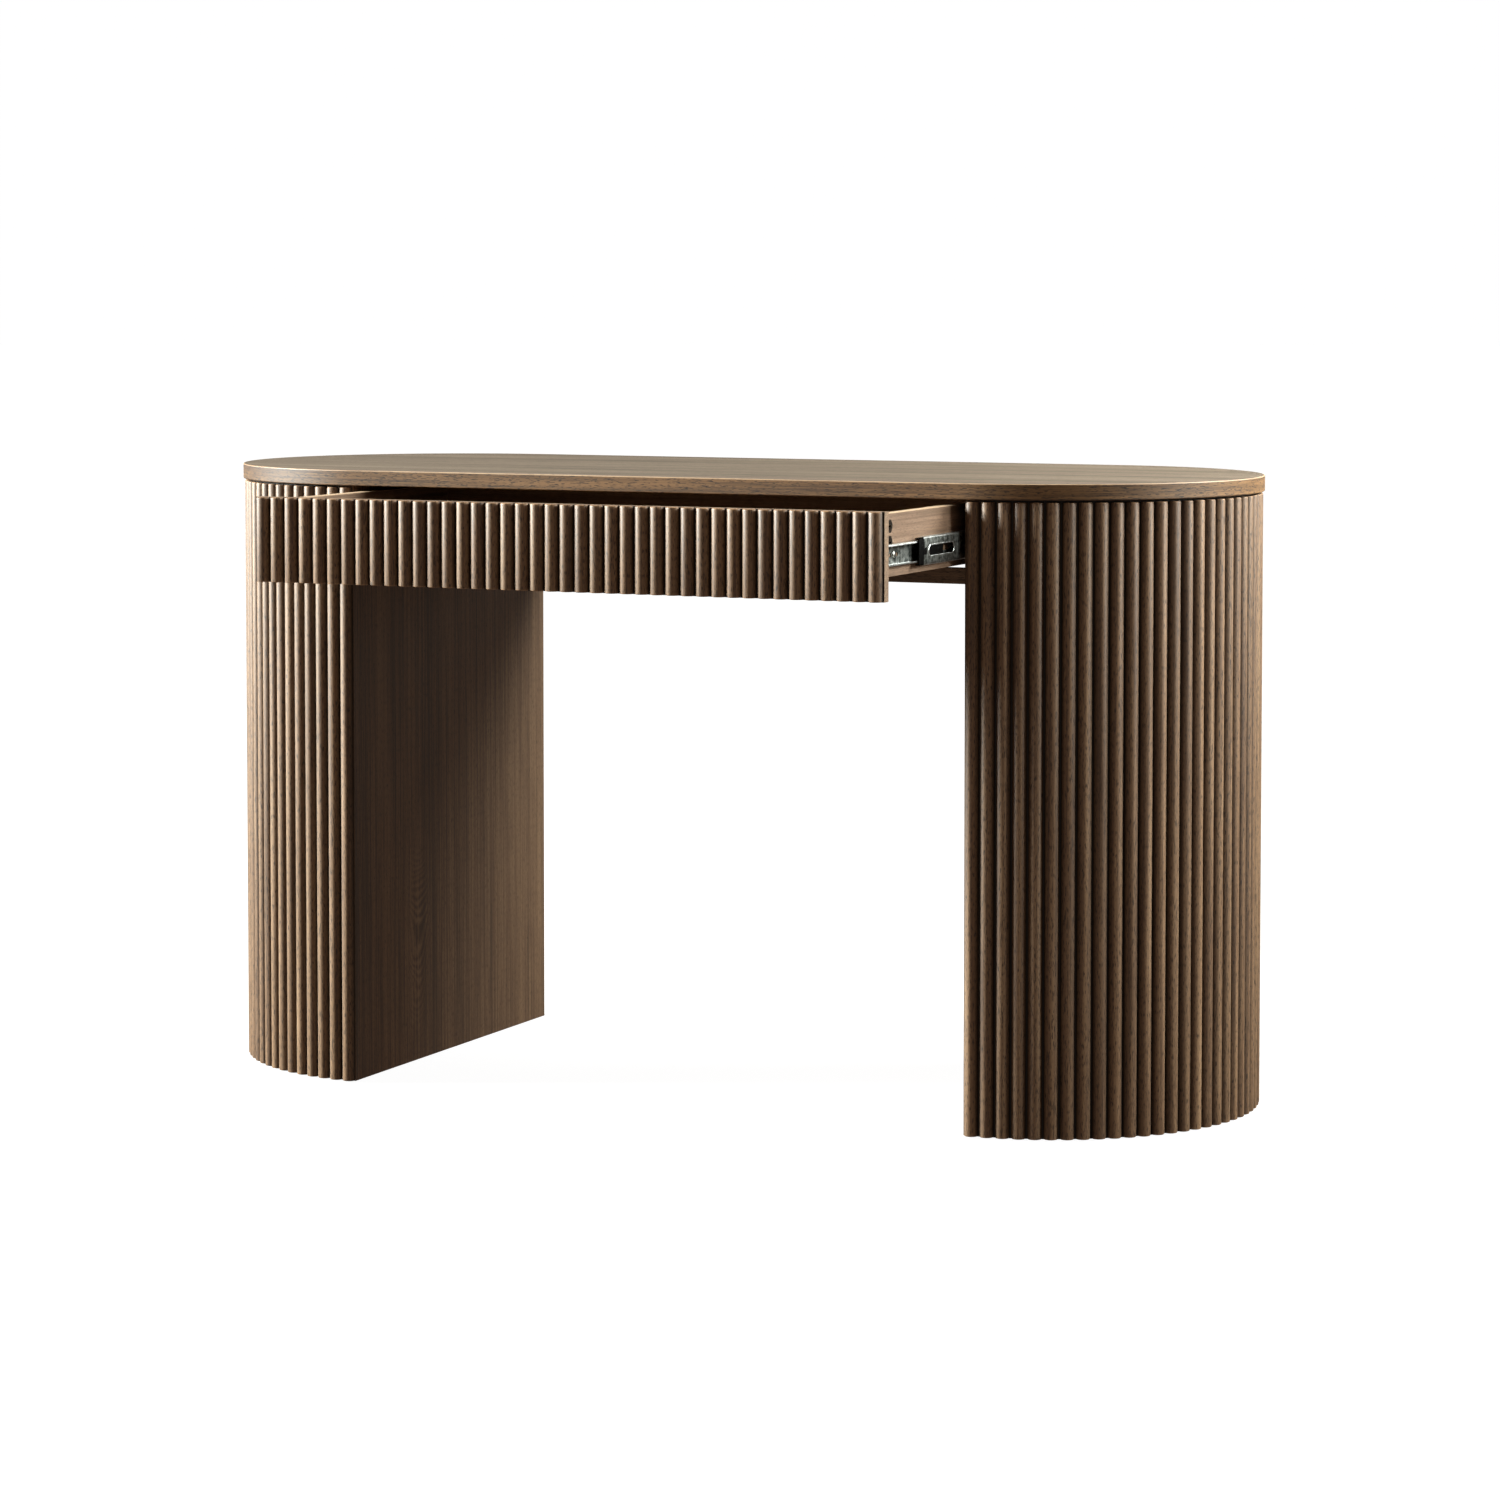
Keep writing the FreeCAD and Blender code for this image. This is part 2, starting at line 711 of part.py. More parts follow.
def channel(body, back, web, tip, half):
    """A channel section: web between back and web, lips reaching to tip, drawn towards -X."""
    wall = f"({half} - abs({web} - ({back})))"
    corners = [(f"-({back})", half), (f"-({tip})", half), (f"-({tip})", wall), (f"-({web})", wall),
               (f"-({web})", f"-{wall}"), (f"-({tip})", f"-{wall}"), (f"-({tip})", f"-({half})"),
               (f"-({back})", f"-({half})")]
    return polygon(body, "XZ_Plane", corners)


def slide_outer(side, tools):
    body = new_body(f"{side}SlideOuter")
    section = channel(body, "0", "slide_steel", "outer_flange", "outer_height / 2")
    pad(body, section, "slide_length", backwards=True)
    slide_frame(body, side, "desk_y + slide_front")
    finish(bored(body, tools), f"{side}_slide_outer")


def rounded_slot(body, grow):
    """A long hole with round ends in the web, drawn on the YZ plane."""
    sketch = new_sketch(body, "YZ_Plane")
    start = formula_value("slot_inset + slot_height / 2")
    end = formula_value("slot_inset + slot_length - slot_height / 2")
    radius = formula_value(f"slot_height / 2 + {grow}")
    quarter = math.pi / 2
    for y, begin in ((start, quarter), (end, -quarter)):
        outline = Part.Circle(FreeCAD.Vector(y, 0, 0), UP, radius)
        sketch.addGeometry(Part.ArcOfCircle(outline, begin, begin + math.pi))
    for sign in (-1, 1):
        first, last = (start, end) if sign < 0 else (end, start)
        low = FreeCAD.Vector(first, sign * radius, 0)
        sketch.addGeometry(Part.LineSegment(low, FreeCAD.Vector(last, sign * radius, 0)))
    for arc, straight, following in ((0, 2, 1), (1, 3, 0)):
        sketch.addConstraint(Sketcher.Constraint("Coincident", arc, 2, straight, 1))
        sketch.addConstraint(Sketcher.Constraint("Coincident", straight, 2, following, 1))
    places = ("slot_inset + slot_height / 2", "slot_inset + slot_length - slot_height / 2")
    for arc, along in enumerate(places):
        sketch.addConstraint(Sketcher.Constraint("PointOnObject", arc, 3, -1))
        sketch.addConstraint(Sketcher.Constraint("Vertical", arc, 1, arc, 3))
        sketch.addConstraint(Sketcher.Constraint("Vertical", arc, 2, arc, 3))
        hold(sketch, "DistanceX", -1, 1, arc, 3, to=along)
        hold(sketch, "Radius", arc, to=f"slot_height / 2 + {grow}")
    return sketch


def slide_middle(side):
    """The middle member, with a raised rim round the long hole near its front end."""
    body = new_body(f"{side}SlideMiddle")
    section = channel(body, "middle_web", "middle_web + slide_steel", "middle_web + middle_flange",
                      "middle_height / 2")
    pad(body, section, "middle_length", backwards=True)
    rim_sketch = rounded_slot(body, "slot_rim")
    rim_sketch.setExpression("AttachmentOffset.Base.z", bound("slot_rim_rise - middle_web"))
    pad(body, rim_sketch, "slot_rim_rise", backwards=True)
    hole = pocket_through(body, rounded_slot(body, "0"))
    body.Tip = hole
    finish(slide_frame(body, side, "middle_y + slide_front"), f"{side}_slide_middle")


def slide_inner(side, tools):
    body = new_body(f"{side}SlideInner")
    section = channel(body, "slide_thickness", "slide_thickness - slide_steel",
                      "slide_thickness - inner_flange", "inner_height / 2")
    pad(body, section, "inner_length", backwards=True)
    slide_frame(body, side, "drawer_y + inner_front")
    finish(bored(body, tools), f"{side}_slide_inner")


def slide_bumper(side):
    """The plastic stop on the front end of the middle member."""
    body = new_body(f"{side}SlideBumper")
    section = channel(body, "middle_web", "middle_web + bumper_wall", "middle_web + bumper_lip",
                      "bumper_height / 2")
    pad(body, section, "bumper_length")
    finish(slide_frame(body, side, "middle_y + slide_front"), f"{side}_slide_bumper")


def ball_cage(side, label, back, tip, half, ball_x, ball, y, start, window=None):
    """A thin strip bent round the race, pierced for its balls above and below. A window along its
    middle clears screw heads, and leaves an upper and a lower strip."""
    body = new_body(f"{side}{label}Cage", several=True)
    section = channel(body, back, f"{back} + cage_steel", tip, f"{half} + cage_steel / 2")
    pad(body, section, "cage_length", backwards=True)
    if window:
        corners = [("0", f"-({window})"), ("cage_length", f"-({window})"),
                   ("cage_length", window), ("0", window)]
        pocket_through(body, polygon(body, "YZ_Plane", corners))
    hole_sketch = circle(body, "XY_Plane", f"-({ball_x})", "ball_pitch / 2", f"{ball} + slide_play / 2")
    hole = pocket_through(body, hole_sketch)
    row(body, [hole], "Y_Axis", "cage_length - ball_pitch", "ball_count")
    finish(slide_frame(body, side, f"{y} + {start}"), f"{side}_{label}_cage")


def balls(side, label, half, ball_x, ball, y, start):
    """The bearing balls of one cage, in an upper and a lower row."""
    body = new_body(f"{side}{label}Balls", several=True)
    first = body.newObject("PartDesign::AdditiveSphere", f"{side}{label}Ball")
    bind(first, Radius=ball)
    place(first, f"-({ball_x})", "ball_pitch / 2", half)
    paired(body, [first], "Y_Axis", "cage_length - ball_pitch", "ball_count", "XY_Plane")
    finish(slide_frame(body, side, f"{y} + {start}"), f"{side}_{label}_balls")


def slide_screws(side, label, face, direction, y):
    """Pan-head screws through a slide member into the board behind it."""
    body = new_body(f"{side}{label}Screws", several=True)
    shank_sketch = circle(body, "YZ_Plane", "screw_inset", "0", "screw_radius")
    shank_sketch.setExpression("AttachmentOffset.Base.z", bound(f"-({face})"))
    shank = pad(body, shank_sketch, "screw_length", backwards=direction < 0)
    head_sketch = circle(body, "YZ_Plane", "screw_inset", "0", "screw_head_radius")
    head_sketch.setExpression("AttachmentOffset.Base.z", bound(f"-({face})"))
    head = pad(body, head_sketch, "screw_head_height", backwards=direction > 0)
    row(body, [shank, head], "Y_Axis", "screw_spacing * (screw_count - 1)", "screw_count")
    return finish(slide_frame(body, side, y), f"{side}_{label}_screws")


# Assembly: fittings come first, because they cut their own seats

top_fixings = {side: top_screws(side) for side in SIDES}
rail_pins = rail_dowels()
apron_pins = apron_dowels()
angle_screws = bracket_screws()
bottom = drawer_bottom()
cam_bolts = drawer_cam_bolts()

desk_top([*top_fixings.values(), angle_screws])
front_rail([rail_pins])
rear_apron([apron_pins, angle_screws])
apron_reeds()
apron_brackets([angle_screws])
for side in SIDES:
    wall_screws = slide_screws(side, "slide_outer", "slide_steel", 1, "desk_y + slide_front")
    inner_panel(side, [wall_screws, rail_pins, apron_pins])
    curved_core(side)
    half_plate(side, "top_plate", "carcass_top - plate_thickness", [top_fixings[side]])
    half_plate(side, "middle_rib", "rib_height")
    half_plate(side, "bottom_plate", "floor_gap")
    pedestal_reeds(side)
    glides(side)

    slide_outer(side, [wall_screws])
    wide_run = ("outer_ball_z", "outer_ball_x", "outer_ball",
                "outer_cage_y + slide_front", "outer_cage_start")
    ball_cage(side, "outer", "slide_steel + (web_gap - cage_steel) / 2", "outer_flange", *wide_run,
              window="screw_head_radius + 2 * slide_play")
    balls(side, "outer", *wide_run)
    slide_middle(side)
    slide_bumper(side)
    narrow_run = ("inner_ball_z", "inner_ball_x", "inner_ball",
                  "inner_cage_y + slide_front", "inner_cage_start")
    ball_cage(side, "inner", "middle_web + slide_steel + slide_play",
              "slide_thickness - 2 * slide_steel", *narrow_run)
    balls(side, "inner", *narrow_run)
    drawer_screws = slide_screws(side, "slide_inner", "slide_thickness - slide_steel", -1,
                                 "drawer_y + inner_front")
    slide_inner(side, [drawer_screws])

    drawer_cams(side)
    drawer_side(side, [cam_bores(side), cam_bolts, bottom, drawer_screws])
drawer_front([cam_bolts, bottom])
drawer_front_reeds()
drawer_back([bottom])

doc.recompute()

# Every sub-part has to be sound before its file is written
os.makedirs("parts", exist_ok=True)
for item in doc.Objects:
    if "Invalid" in item.State or "Error" in item.State:
        raise RuntimeError(f"{item.Label} did not rebuild: {item.State}")
for node in nodes:
    shape = node.Shape
    if shape.isNull() or not shape.isValid() or not shape.Solids:
        raise RuntimeError(f"{node.Label} has no sound solid")
    shape.exportStep(f"parts/{node.Label}.step")
    box = shape.BoundBox
    print(f"{node.Label}: {len(shape.Solids)} solids, {shape.Volume / 1000:.1f} cm3, "
          f"x {box.XMin:.1f} to {box.XMax:.1f}, y {box.YMin:.1f} to {box.YMax:.1f}, "
          f"z {box.ZMin:.1f} to {box.ZMax:.1f}")
print(len(nodes), "sub-parts")
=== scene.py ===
# %% [markdown]
# A reeded writing desk with one wide drawer, drawn part open on steel ball slides.
# The solids come from a CAD frame that already has the right sizes and joints. This lesson keeps
# every piece where the frame holds it, and gives it the finer shape and finish that the eye expects:
# half-round reeds with eased ends, an edged top, rolled steel slides and brown-stained ash.

# %% Load the frame
import math
import random

import bmesh
import bpy
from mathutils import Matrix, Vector


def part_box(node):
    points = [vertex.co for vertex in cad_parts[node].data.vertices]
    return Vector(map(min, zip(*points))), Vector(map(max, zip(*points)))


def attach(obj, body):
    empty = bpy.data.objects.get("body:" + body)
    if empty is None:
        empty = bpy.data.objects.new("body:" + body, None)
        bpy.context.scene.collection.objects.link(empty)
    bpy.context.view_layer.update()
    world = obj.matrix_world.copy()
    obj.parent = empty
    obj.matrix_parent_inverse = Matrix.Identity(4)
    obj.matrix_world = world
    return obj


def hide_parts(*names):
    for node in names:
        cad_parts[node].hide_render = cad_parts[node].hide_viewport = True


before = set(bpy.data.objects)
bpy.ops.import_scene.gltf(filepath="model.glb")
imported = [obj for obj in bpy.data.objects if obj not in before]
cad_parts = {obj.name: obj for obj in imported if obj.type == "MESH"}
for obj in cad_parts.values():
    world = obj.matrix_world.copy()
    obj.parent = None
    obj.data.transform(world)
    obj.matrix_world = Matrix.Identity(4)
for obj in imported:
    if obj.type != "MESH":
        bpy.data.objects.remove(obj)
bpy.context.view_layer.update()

MM = 0.001

# %% [markdown]
# Colours are written as the hex codes that a paint chart gives, which are sRGB. Blender's shaders
# work in linear light, so one function turns a code into linear values. One more small function adds
# a node, sets its values and makes its links, which keeps each material's recipe short to read.

# %% Colour and node helpers
def linear(code):
    channels = [int(code[i:i + 2], 16) / 255 for i in (1, 3, 5)]
    return [c / 12.92 if c <= 0.04045 else ((c + 0.055) / 1.055) ** 2.4 for c in channels] + [1.0]


def add(tree, kind, settings=None, links=None):
    """Add a node; settings name its properties or inputs, links lead outputs into its inputs."""
    node = tree.nodes.new(kind)
    for name, value in (settings or {}).items():
        if isinstance(name, str) and hasattr(node, name):
            setattr(node, name, value)
        else:
            node.inputs[name].default_value = value
    for name, output in (links or {}).items():
        tree.links.new(output, node.inputs[name])
    return node


def new_material(name, **values):
    """A material with a Principled shader whose plain values are set on its own sockets."""
    material = bpy.data.materials.new(name)
    material.use_nodes = True
    shader = material.node_tree.nodes["Principled BSDF"]
    for socket, value in values.items():
        shader.inputs[socket.replace("_", " ")].default_value = value
    return material, material.node_tree, shader


print("stain brown in linear light:", [round(c, 3) for c in linear("#7d6249")])

# %% [markdown]
# The photograph was taken from the front right, a little above the top, with upright lines kept
# upright. A long lens a few metres away gives that. Half of the framing comes from tilting the camera
# slightly down, and half from a moderate lens shift, so that other views stay framed as well.

# %% Camera
LENS_MM = 101.1
SENSOR_MM = 36
CAMERA_PLACE = (2.1743, -4.6524, 0.9922)
CAMERA_TURN = 0.42494
CAMERA_TILT = 0.05437
LENS_SHIFT = -0.16
SIGHT_REACH = 200
camera_data = bpy.data.cameras.new("desk_camera")
camera_data.lens = LENS_MM
camera_data.sensor_width = SENSOR_MM
camera_data.shift_y = LENS_SHIFT
camera_data.clip_end = SIGHT_REACH
camera = bpy.data.objects.new("desk_camera", camera_data)
camera.location = CAMERA_PLACE
camera.rotation_euler = (math.pi / 2 - CAMERA_TILT, 0, CAMERA_TURN)
bpy.context.scene.collection.objects.link(camera)
bpy.context.scene.camera = camera
print("camera stands at", CAMERA_PLACE)

# %% [markdown]
# The studio is a white floor that runs out under a white dome, like acrylic sheet lit from behind. The
# camera sees it but it sends no light to the desk, so the wood keeps deep shadows on a white ground.
# Near the desk the floor glows a little less, and real light makes up the rest, so a faint shadow stays.

# %% Studio floor and dome
FLOOR_RADIUS = 60
SHADOW_REACH = (1.2, 6.0)
FLOOR_GLOW = 0.97
UNDER_FLOOR = -0.01
scene = bpy.context.scene
scene.view_settings.view_transform = "Standard"

floor_sheet, tree, shader = new_material("white acrylic floor", Base_Color=linear("#595959"), Roughness=0.9,
                                         Emission_Color=linear("#ffffff"))
place = add(tree, "ShaderNodeTexCoord").outputs["Object"]
away = add(tree, "ShaderNodeVectorMath", {"operation": "LENGTH"}, {0: place}).outputs["Value"]
glow = add(tree, "ShaderNodeMapRange", {"From Min": SHADOW_REACH[0], "From Max": SHADOW_REACH[1],
                                        "To Min": FLOOR_GLOW, "To Max": 1.0}, {"Value": away})
tree.links.new(glow.outputs[0], shader.inputs["Emission Strength"])
dome_sheet, _, _ = new_material("white acrylic dome", Base_Color=linear("#000000"), Roughness=0.9,
                                Emission_Color=linear("#ffffff"), Emission_Strength=1.0)


def add_stage(name, material, build):
    """A piece of the studio, seen by the camera alone."""
    shape = bmesh.new()
    build(shape)
    mesh = bpy.data.meshes.new(name)
    shape.to_mesh(mesh)
    shape.free()
    mesh.materials.append(material)
    sheet = bpy.data.objects.new(name, mesh)
    scene.collection.objects.link(sheet)
    sheet.visible_diffuse = False
    sheet.visible_glossy = False
    return sheet


def floor_disc(shape):
    bmesh.ops.create_circle(shape, cap_ends=True, segments=96, radius=FLOOR_RADIUS)


def half_dome(shape):
    bmesh.ops.create_uvsphere(shape, u_segments=48, v_segments=24, radius=FLOOR_RADIUS)
    below = [v for v in shape.verts if v.co.z < UNDER_FLOOR]
    bmesh.ops.delete(shape, geom=below, context="VERTS")


add_stage("studio_floor", floor_sheet, floor_disc)
add_stage("studio_dome", dome_sheet, half_dome).visible_shadow = False
print("studio radius:", FLOOR_RADIUS, "m")

# %% [markdown]
# Two soft boxes do most of the lighting, because raking light is what shows reeds. The left one stands
# far off, a little in front of the desk, and lights the left flank of every reed evenly. The right one
# stands close, a little behind the desk and at a steeper angle, so it lights the drawer's side and slips
# under the top on to the far panel, where it is already weak. A tall strip straight to the right draws
# a fine light line down the right flank of the reeds. A low white screen behind gives the top a soft
# sheen at this flat angle. The lamps are daylight ones, a shade cooler than the room's own light.

# %% Studio lights
DESK_MIDDLE = Vector((0, 0.1165, 0.40))
DAYLIGHT = linear("#fafffb")[:3]
ROOM_COLOUR = "#ffe6d2"
ROOM_GLOW = 0.205
# Name, azimuth and elevation in degrees, distance, width and height in metres, and power in watts
LAMPS = (("left_soft_box", 197, 19, 6.5, 2.0, 2.2, 1690),
         ("right_soft_box", 20, 33, 1.95, 0.62, 0.75, 59),
         ("right_strip", 4, 22, 3.6, 0.45, 1.3, 77),
         ("rear_screen", 90, 9, 7.0, 9.0, 2.2, 29))


def soft_light(name, azimuth, elevation, distance, wide, tall, power):
    """A rectangular light aimed at the desk; azimuth is measured from +X towards +Y."""
    data = bpy.data.lights.new(name, "AREA")
    data.shape = "RECTANGLE"
    data.size = wide
    data.size_y = tall
    data.energy = power
    data.color = DAYLIGHT
    light = bpy.data.objects.new(name, data)
    a, e = math.radians(azimuth), math.radians(elevation)
    away = Vector((math.cos(a) * math.cos(e), math.sin(a) * math.cos(e), math.sin(e)))
    light.location = DESK_MIDDLE + away * distance
    light.rotation_euler = away.to_track_quat("Z", "Y").to_euler()
    light.visible_camera = False
    scene.collection.objects.link(light)


for lamp in LAMPS:
    soft_light(*lamp)

world = bpy.data.worlds.new("dim_room")
scene.world = world
world.use_nodes = True
world.node_tree.nodes["Background"].inputs["Color"].default_value = linear(ROOM_COLOUR)
world.node_tree.nodes["Background"].inputs["Strength"].default_value = ROOM_GLOW

# %% [markdown]
# The wood is ash veneer: an open-pored timber, stained brown and sealed with a satin lacquer. Its
# early growth leaves rows of pores that the stain fills, so the eye sees long streaks and short dark
# flecks along the grain. Real pores are about 0.3 mm wide. They are drawn 0.9 mm wide here, so
# that they show at this distance. All sizes are millimetres across and along the grain.
# The pieces made here carry a "grain" attribute that says where each point lies on its own board, so
# the figure follows every reed. Frame pieces are still flat boards, and use their own place in space.

# %% Stained ash
# Millimetres across and along the grain, and how much finer detail each layer has
GRAIN_SIZES = {"flow": (46, 620, 2), "rings": (4.2, 330, 3), "fibres": (1.3, 46, 2), "pores": (0.9, 7, 1)}
GRAIN_WEIGHTS = {"flow": 0.5, "rings": 0.9, "fibres": 0.5}
ASH = {"dark": "#553d2a", "middle": "#775b41", "light": "#907356", "pore": "#281c12"}
# Painted shade: the near-black brown that the reeds' colour fades to towards each groove
GROOVE_SHADE_BROWN = "#100a05"
GROOVE_DULLING = 0.4
STREAK_REACH = 0.25
TONE_SHARE = 0.22
PORE_EDGE = (0.56, 0.64)
PORE_BUMP = 0.05
PORE_DEPTH = 0.2 * MM
GLOSS_SPREAD = (-0.06, 0.1)
ALONG_Z = (0, 0, 0)
ALONG_Y = (math.pi / 2, 0, 0)
ALONG_X = (0, math.pi / 2, 0)


def stained_ash(name, turn=None, colours=ASH, pores=0.8, roughness=0.52, lacquer=0.5, figure=None,
                contrast=1.0):
    """Stained, lacquered ash. A turn brings the grain of a flat board upright; without one the
    grain comes from the piece's own attribute."""
    material, tree, shader = new_material(name, IOR=1.5, Specular_IOR_Level=lacquer)
    if turn is None:
        source = add(tree, "ShaderNodeAttribute", {"attribute_name": "grain"}).outputs["Vector"]
    else:
        place = add(tree, "ShaderNodeTexCoord").outputs["Object"]
        source = add(tree, "ShaderNodeMapping", {"Rotation": turn}, {"Vector": place}).outputs[0]
    layer = {}
    for word, (across, along, detail) in GRAIN_SIZES.items():
        stretch = (1 / (across * MM), 1 / (across * MM), 1 / (along * MM))
        drawn = add(tree, "ShaderNodeMapping", {"Scale": stretch}, {"Vector": source})
        layer[word] = add(tree, "ShaderNodeTexNoise", {"Scale": 1.0, "Detail": detail},
                          {"Vector": drawn.outputs[0]}).outputs["Fac"]
    streaks = figure(tree, source) if figure else None
    for word, weight in GRAIN_WEIGHTS.items():
        links = {0: layer[word], 2: streaks} if streaks else {0: layer[word]}
        streaks = add(tree, "ShaderNodeMath", {"operation": "MULTIPLY_ADD", 1: weight, 2: 0.0},
                      links).outputs[0]
    usual, reach = sum(GRAIN_WEIGHTS.values()) / 2, STREAK_REACH / contrast
    share = add(tree, "ShaderNodeMapRange", {"From Min": usual - reach, "From Max": usual + reach},
                {"Value": streaks}).outputs[0]
    stain = add(tree, "ShaderNodeValToRGB", {}, {"Fac": share})
    ramp = stain.color_ramp
    ramp.elements[0].color = linear(colours["dark"])
    ramp.elements[1].color = linear(colours["light"])
    ramp.elements.new(0.5).color = linear(colours["middle"])
    tone = add(tree, "ShaderNodeAttribute", {"attribute_name": "tone"}).outputs["Fac"]
    value = add(tree, "ShaderNodeMath", {"operation": "MULTIPLY_ADD", 1: TONE_SHARE, 2: 1.0},
                {0: tone}).outputs[0]
    toned = add(tree, "ShaderNodeHueSaturation", {}, {"Value": value, "Color": stain.outputs["Color"]})
    open_pores = add(tree, "ShaderNodeMapRange", {"From Min": PORE_EDGE[0], "From Max": PORE_EDGE[1],
                                                  "To Max": pores}, {"Value": layer["pores"]}).outputs[0]
    # Painted shade: the groove attribute darkens the colour towards the groove between reeds
    groove_shade = add(tree, "ShaderNodeAttribute", {"attribute_name": "groove_shade"}).outputs["Fac"]
    flecked = add(tree, "ShaderNodeMix", {"data_type": "RGBA", 7: linear(colours["pore"])},
                  {0: open_pores, 6: toned.outputs["Color"]}).outputs[2]
    colour = add(tree, "ShaderNodeMix", {"data_type": "RGBA", 7: linear(GROOVE_SHADE_BROWN)},
                 {0: groove_shade, 6: flecked})
    tree.links.new(colour.outputs[2], shader.inputs["Base Color"])
    gloss = add(tree, "ShaderNodeMapRange", {"To Min": roughness + GLOSS_SPREAD[0],
                                             "To Max": roughness + GLOSS_SPREAD[1]},
                {"Value": layer["fibres"]}).outputs[0]
    dull = add(tree, "ShaderNodeMath", {"operation": "MULTIPLY_ADD", 1: GROOVE_DULLING, "use_clamp": True},
               {0: groove_shade, 2: gloss}).outputs[0]
    tree.links.new(dull, shader.inputs["Roughness"])
    bump = add(tree, "ShaderNodeBump", {"Strength": PORE_BUMP, "Distance": PORE_DEPTH, "invert": True},
               {"Height": open_pores})
    tree.links.new(bump.outputs[0], shader.inputs["Normal"])
    return material


# Satin lacquer on half-round sticks draws a soft light line down each one.
ash_reed = stained_ash("ash reeds, stained and lacquered", roughness=0.48, lacquer=0.62)
# The lamps lie low, so a satin top would mirror them white from the sides: the top is matt, and so is
# the drawer's floor. The top's paler, greyer colour is a painted sheen of the white surroundings.
TOP_ASH_PAINTED_SHEEN = {"dark": "#51463a", "middle": "#675a4c", "light": "#7b6d5d", "pore": "#30281f"}
ash_top_painted_sheen = stained_ash("ash top veneer, matt, painted sheen", colours=TOP_ASH_PAINTED_SHEEN, pores=0.45, roughness=0.84,
                     lacquer=0.2, contrast=1.2)
# The edge band is thin and takes more stain, so it is darker and warmer. Sanding bares its corners,
# which are drawn paler still as a painted highlight.
EDGE_ASH = {"dark": "#47301d", "middle": "#624627", "light": "#7d5b36", "pore": "#24170c"}
ash_edge = stained_ash("ash edge band, satin lacquer", colours=EDGE_ASH, pores=0.9, contrast=1.3)
# Sanding wear and a painted highlight: the eased corners of the top are drawn pale
ARRIS_WEAR_AND_HIGHLIGHT = {"dark": "#8a6d52", "middle": "#a98b6d", "light": "#bd9f80", "pore": "#6b5039"}
arris_wear_and_highlight = stained_ash("ash arris, sanded and painted highlight", colours=ARRIS_WEAR_AND_HIGHLIGHT, pores=0.3)
print("wood materials:", [m.name for m in bpy.data.materials if m.name.startswith("ash")])

# %% [markdown]
# A flat-cut board shows its growth rings as a narrow column of nested arches between straight lines.
# Each arch is a shallow bow, about a centimetre above the last, so its height grows with the square of
# the distance from the column's middle: height less that bow says which arch a point is on. A slow noise
# makes the column lean and spaces the arches unevenly. A sine turns the result into pale and dark rings,
# which fade out to the sides, and above and below the middle of the stack.

# %% Inner panels with an arched figure
# Metres, but for the bow, which is per metre, and the strength, a share of the streaks
ARCHES = {"middle": 0.022, "height": 0.16, "reach": 0.14, "step": 12 * MM, "bow": 38.0, "half_width": 30 * MM,
          "lean": 34 * MM, "drift": 120 * MM, "wander": 111.1 * MM, "strength": 0.17}


def arched_figure(tree, source):
    """How much paler or darker the arches make a point of the panel."""
    middle = (0, -ARCHES["middle"] - ARCHES["lean"] / 2, -ARCHES["height"])
    placed = add(tree, "ShaderNodeMapping", {"Location": middle}, {"Vector": source}).outputs[0]
    along = add(tree, "ShaderNodeSeparateXYZ", {}, {"Vector": placed}).outputs
    unrest = add(tree, "ShaderNodeTexNoise", {"Scale": 1 / ARCHES["wander"], "Detail": 2.0},
                 {"Vector": source}).outputs["Fac"]
    aside = add(tree, "ShaderNodeMath", {"operation": "MULTIPLY_ADD", 1: ARCHES["lean"]},
                {0: unrest, 2: along["Y"]}).outputs[0]
    square = add(tree, "ShaderNodeMath", {"operation": "MULTIPLY"}, {0: aside, 1: aside}).outputs[0]
    bowed = add(tree, "ShaderNodeMath", {"operation": "MULTIPLY_ADD", 1: -ARCHES["bow"]},
                {0: square, 2: along["Z"]}).outputs[0]
    stack = add(tree, "ShaderNodeMath", {"operation": "MULTIPLY_ADD", 1: ARCHES["drift"]},
                {0: unrest, 2: bowed}).outputs[0]
    turns = add(tree, "ShaderNodeMath", {"operation": "MULTIPLY", 1: 2 * math.pi / ARCHES["step"]},
                {0: stack}).outputs[0]
    rings = add(tree, "ShaderNodeMath", {"operation": "SINE"}, {0: turns}).outputs[0]
    far = add(tree, "ShaderNodeMath", {"operation": "ABSOLUTE"}, {0: along["Z"]}).outputs[0]
    narrow = add(tree, "ShaderNodeMapRange", {"From Max": ARCHES["half_width"] ** 2, "To Max": 0.0,
                                              "To Min": ARCHES["strength"]}, {"Value": square}).outputs[0]
    near = add(tree, "ShaderNodeMapRange", {"From Max": ARCHES["reach"], "To Min": 1.0, "To Max": 0.0},
               {"Value": far}).outputs[0]
    faded = add(tree, "ShaderNodeMath", {"operation": "MULTIPLY"}, {0: narrow, 1: near}).outputs[0]
    return add(tree, "ShaderNodeMath", {"operation": "MULTIPLY"}, {0: rings, 1: faded}).outputs[0]


PANEL_ASH = {"dark": "#483728", "middle": "#654c37", "light": "#795f46", "pore": "#2a1d14"}
ash_panel = stained_ash("ash panel veneer, arched figure", ALONG_Z, colours=PANEL_ASH, pores=0.55,
                        roughness=0.58, figure=arched_figure, contrast=1.3)
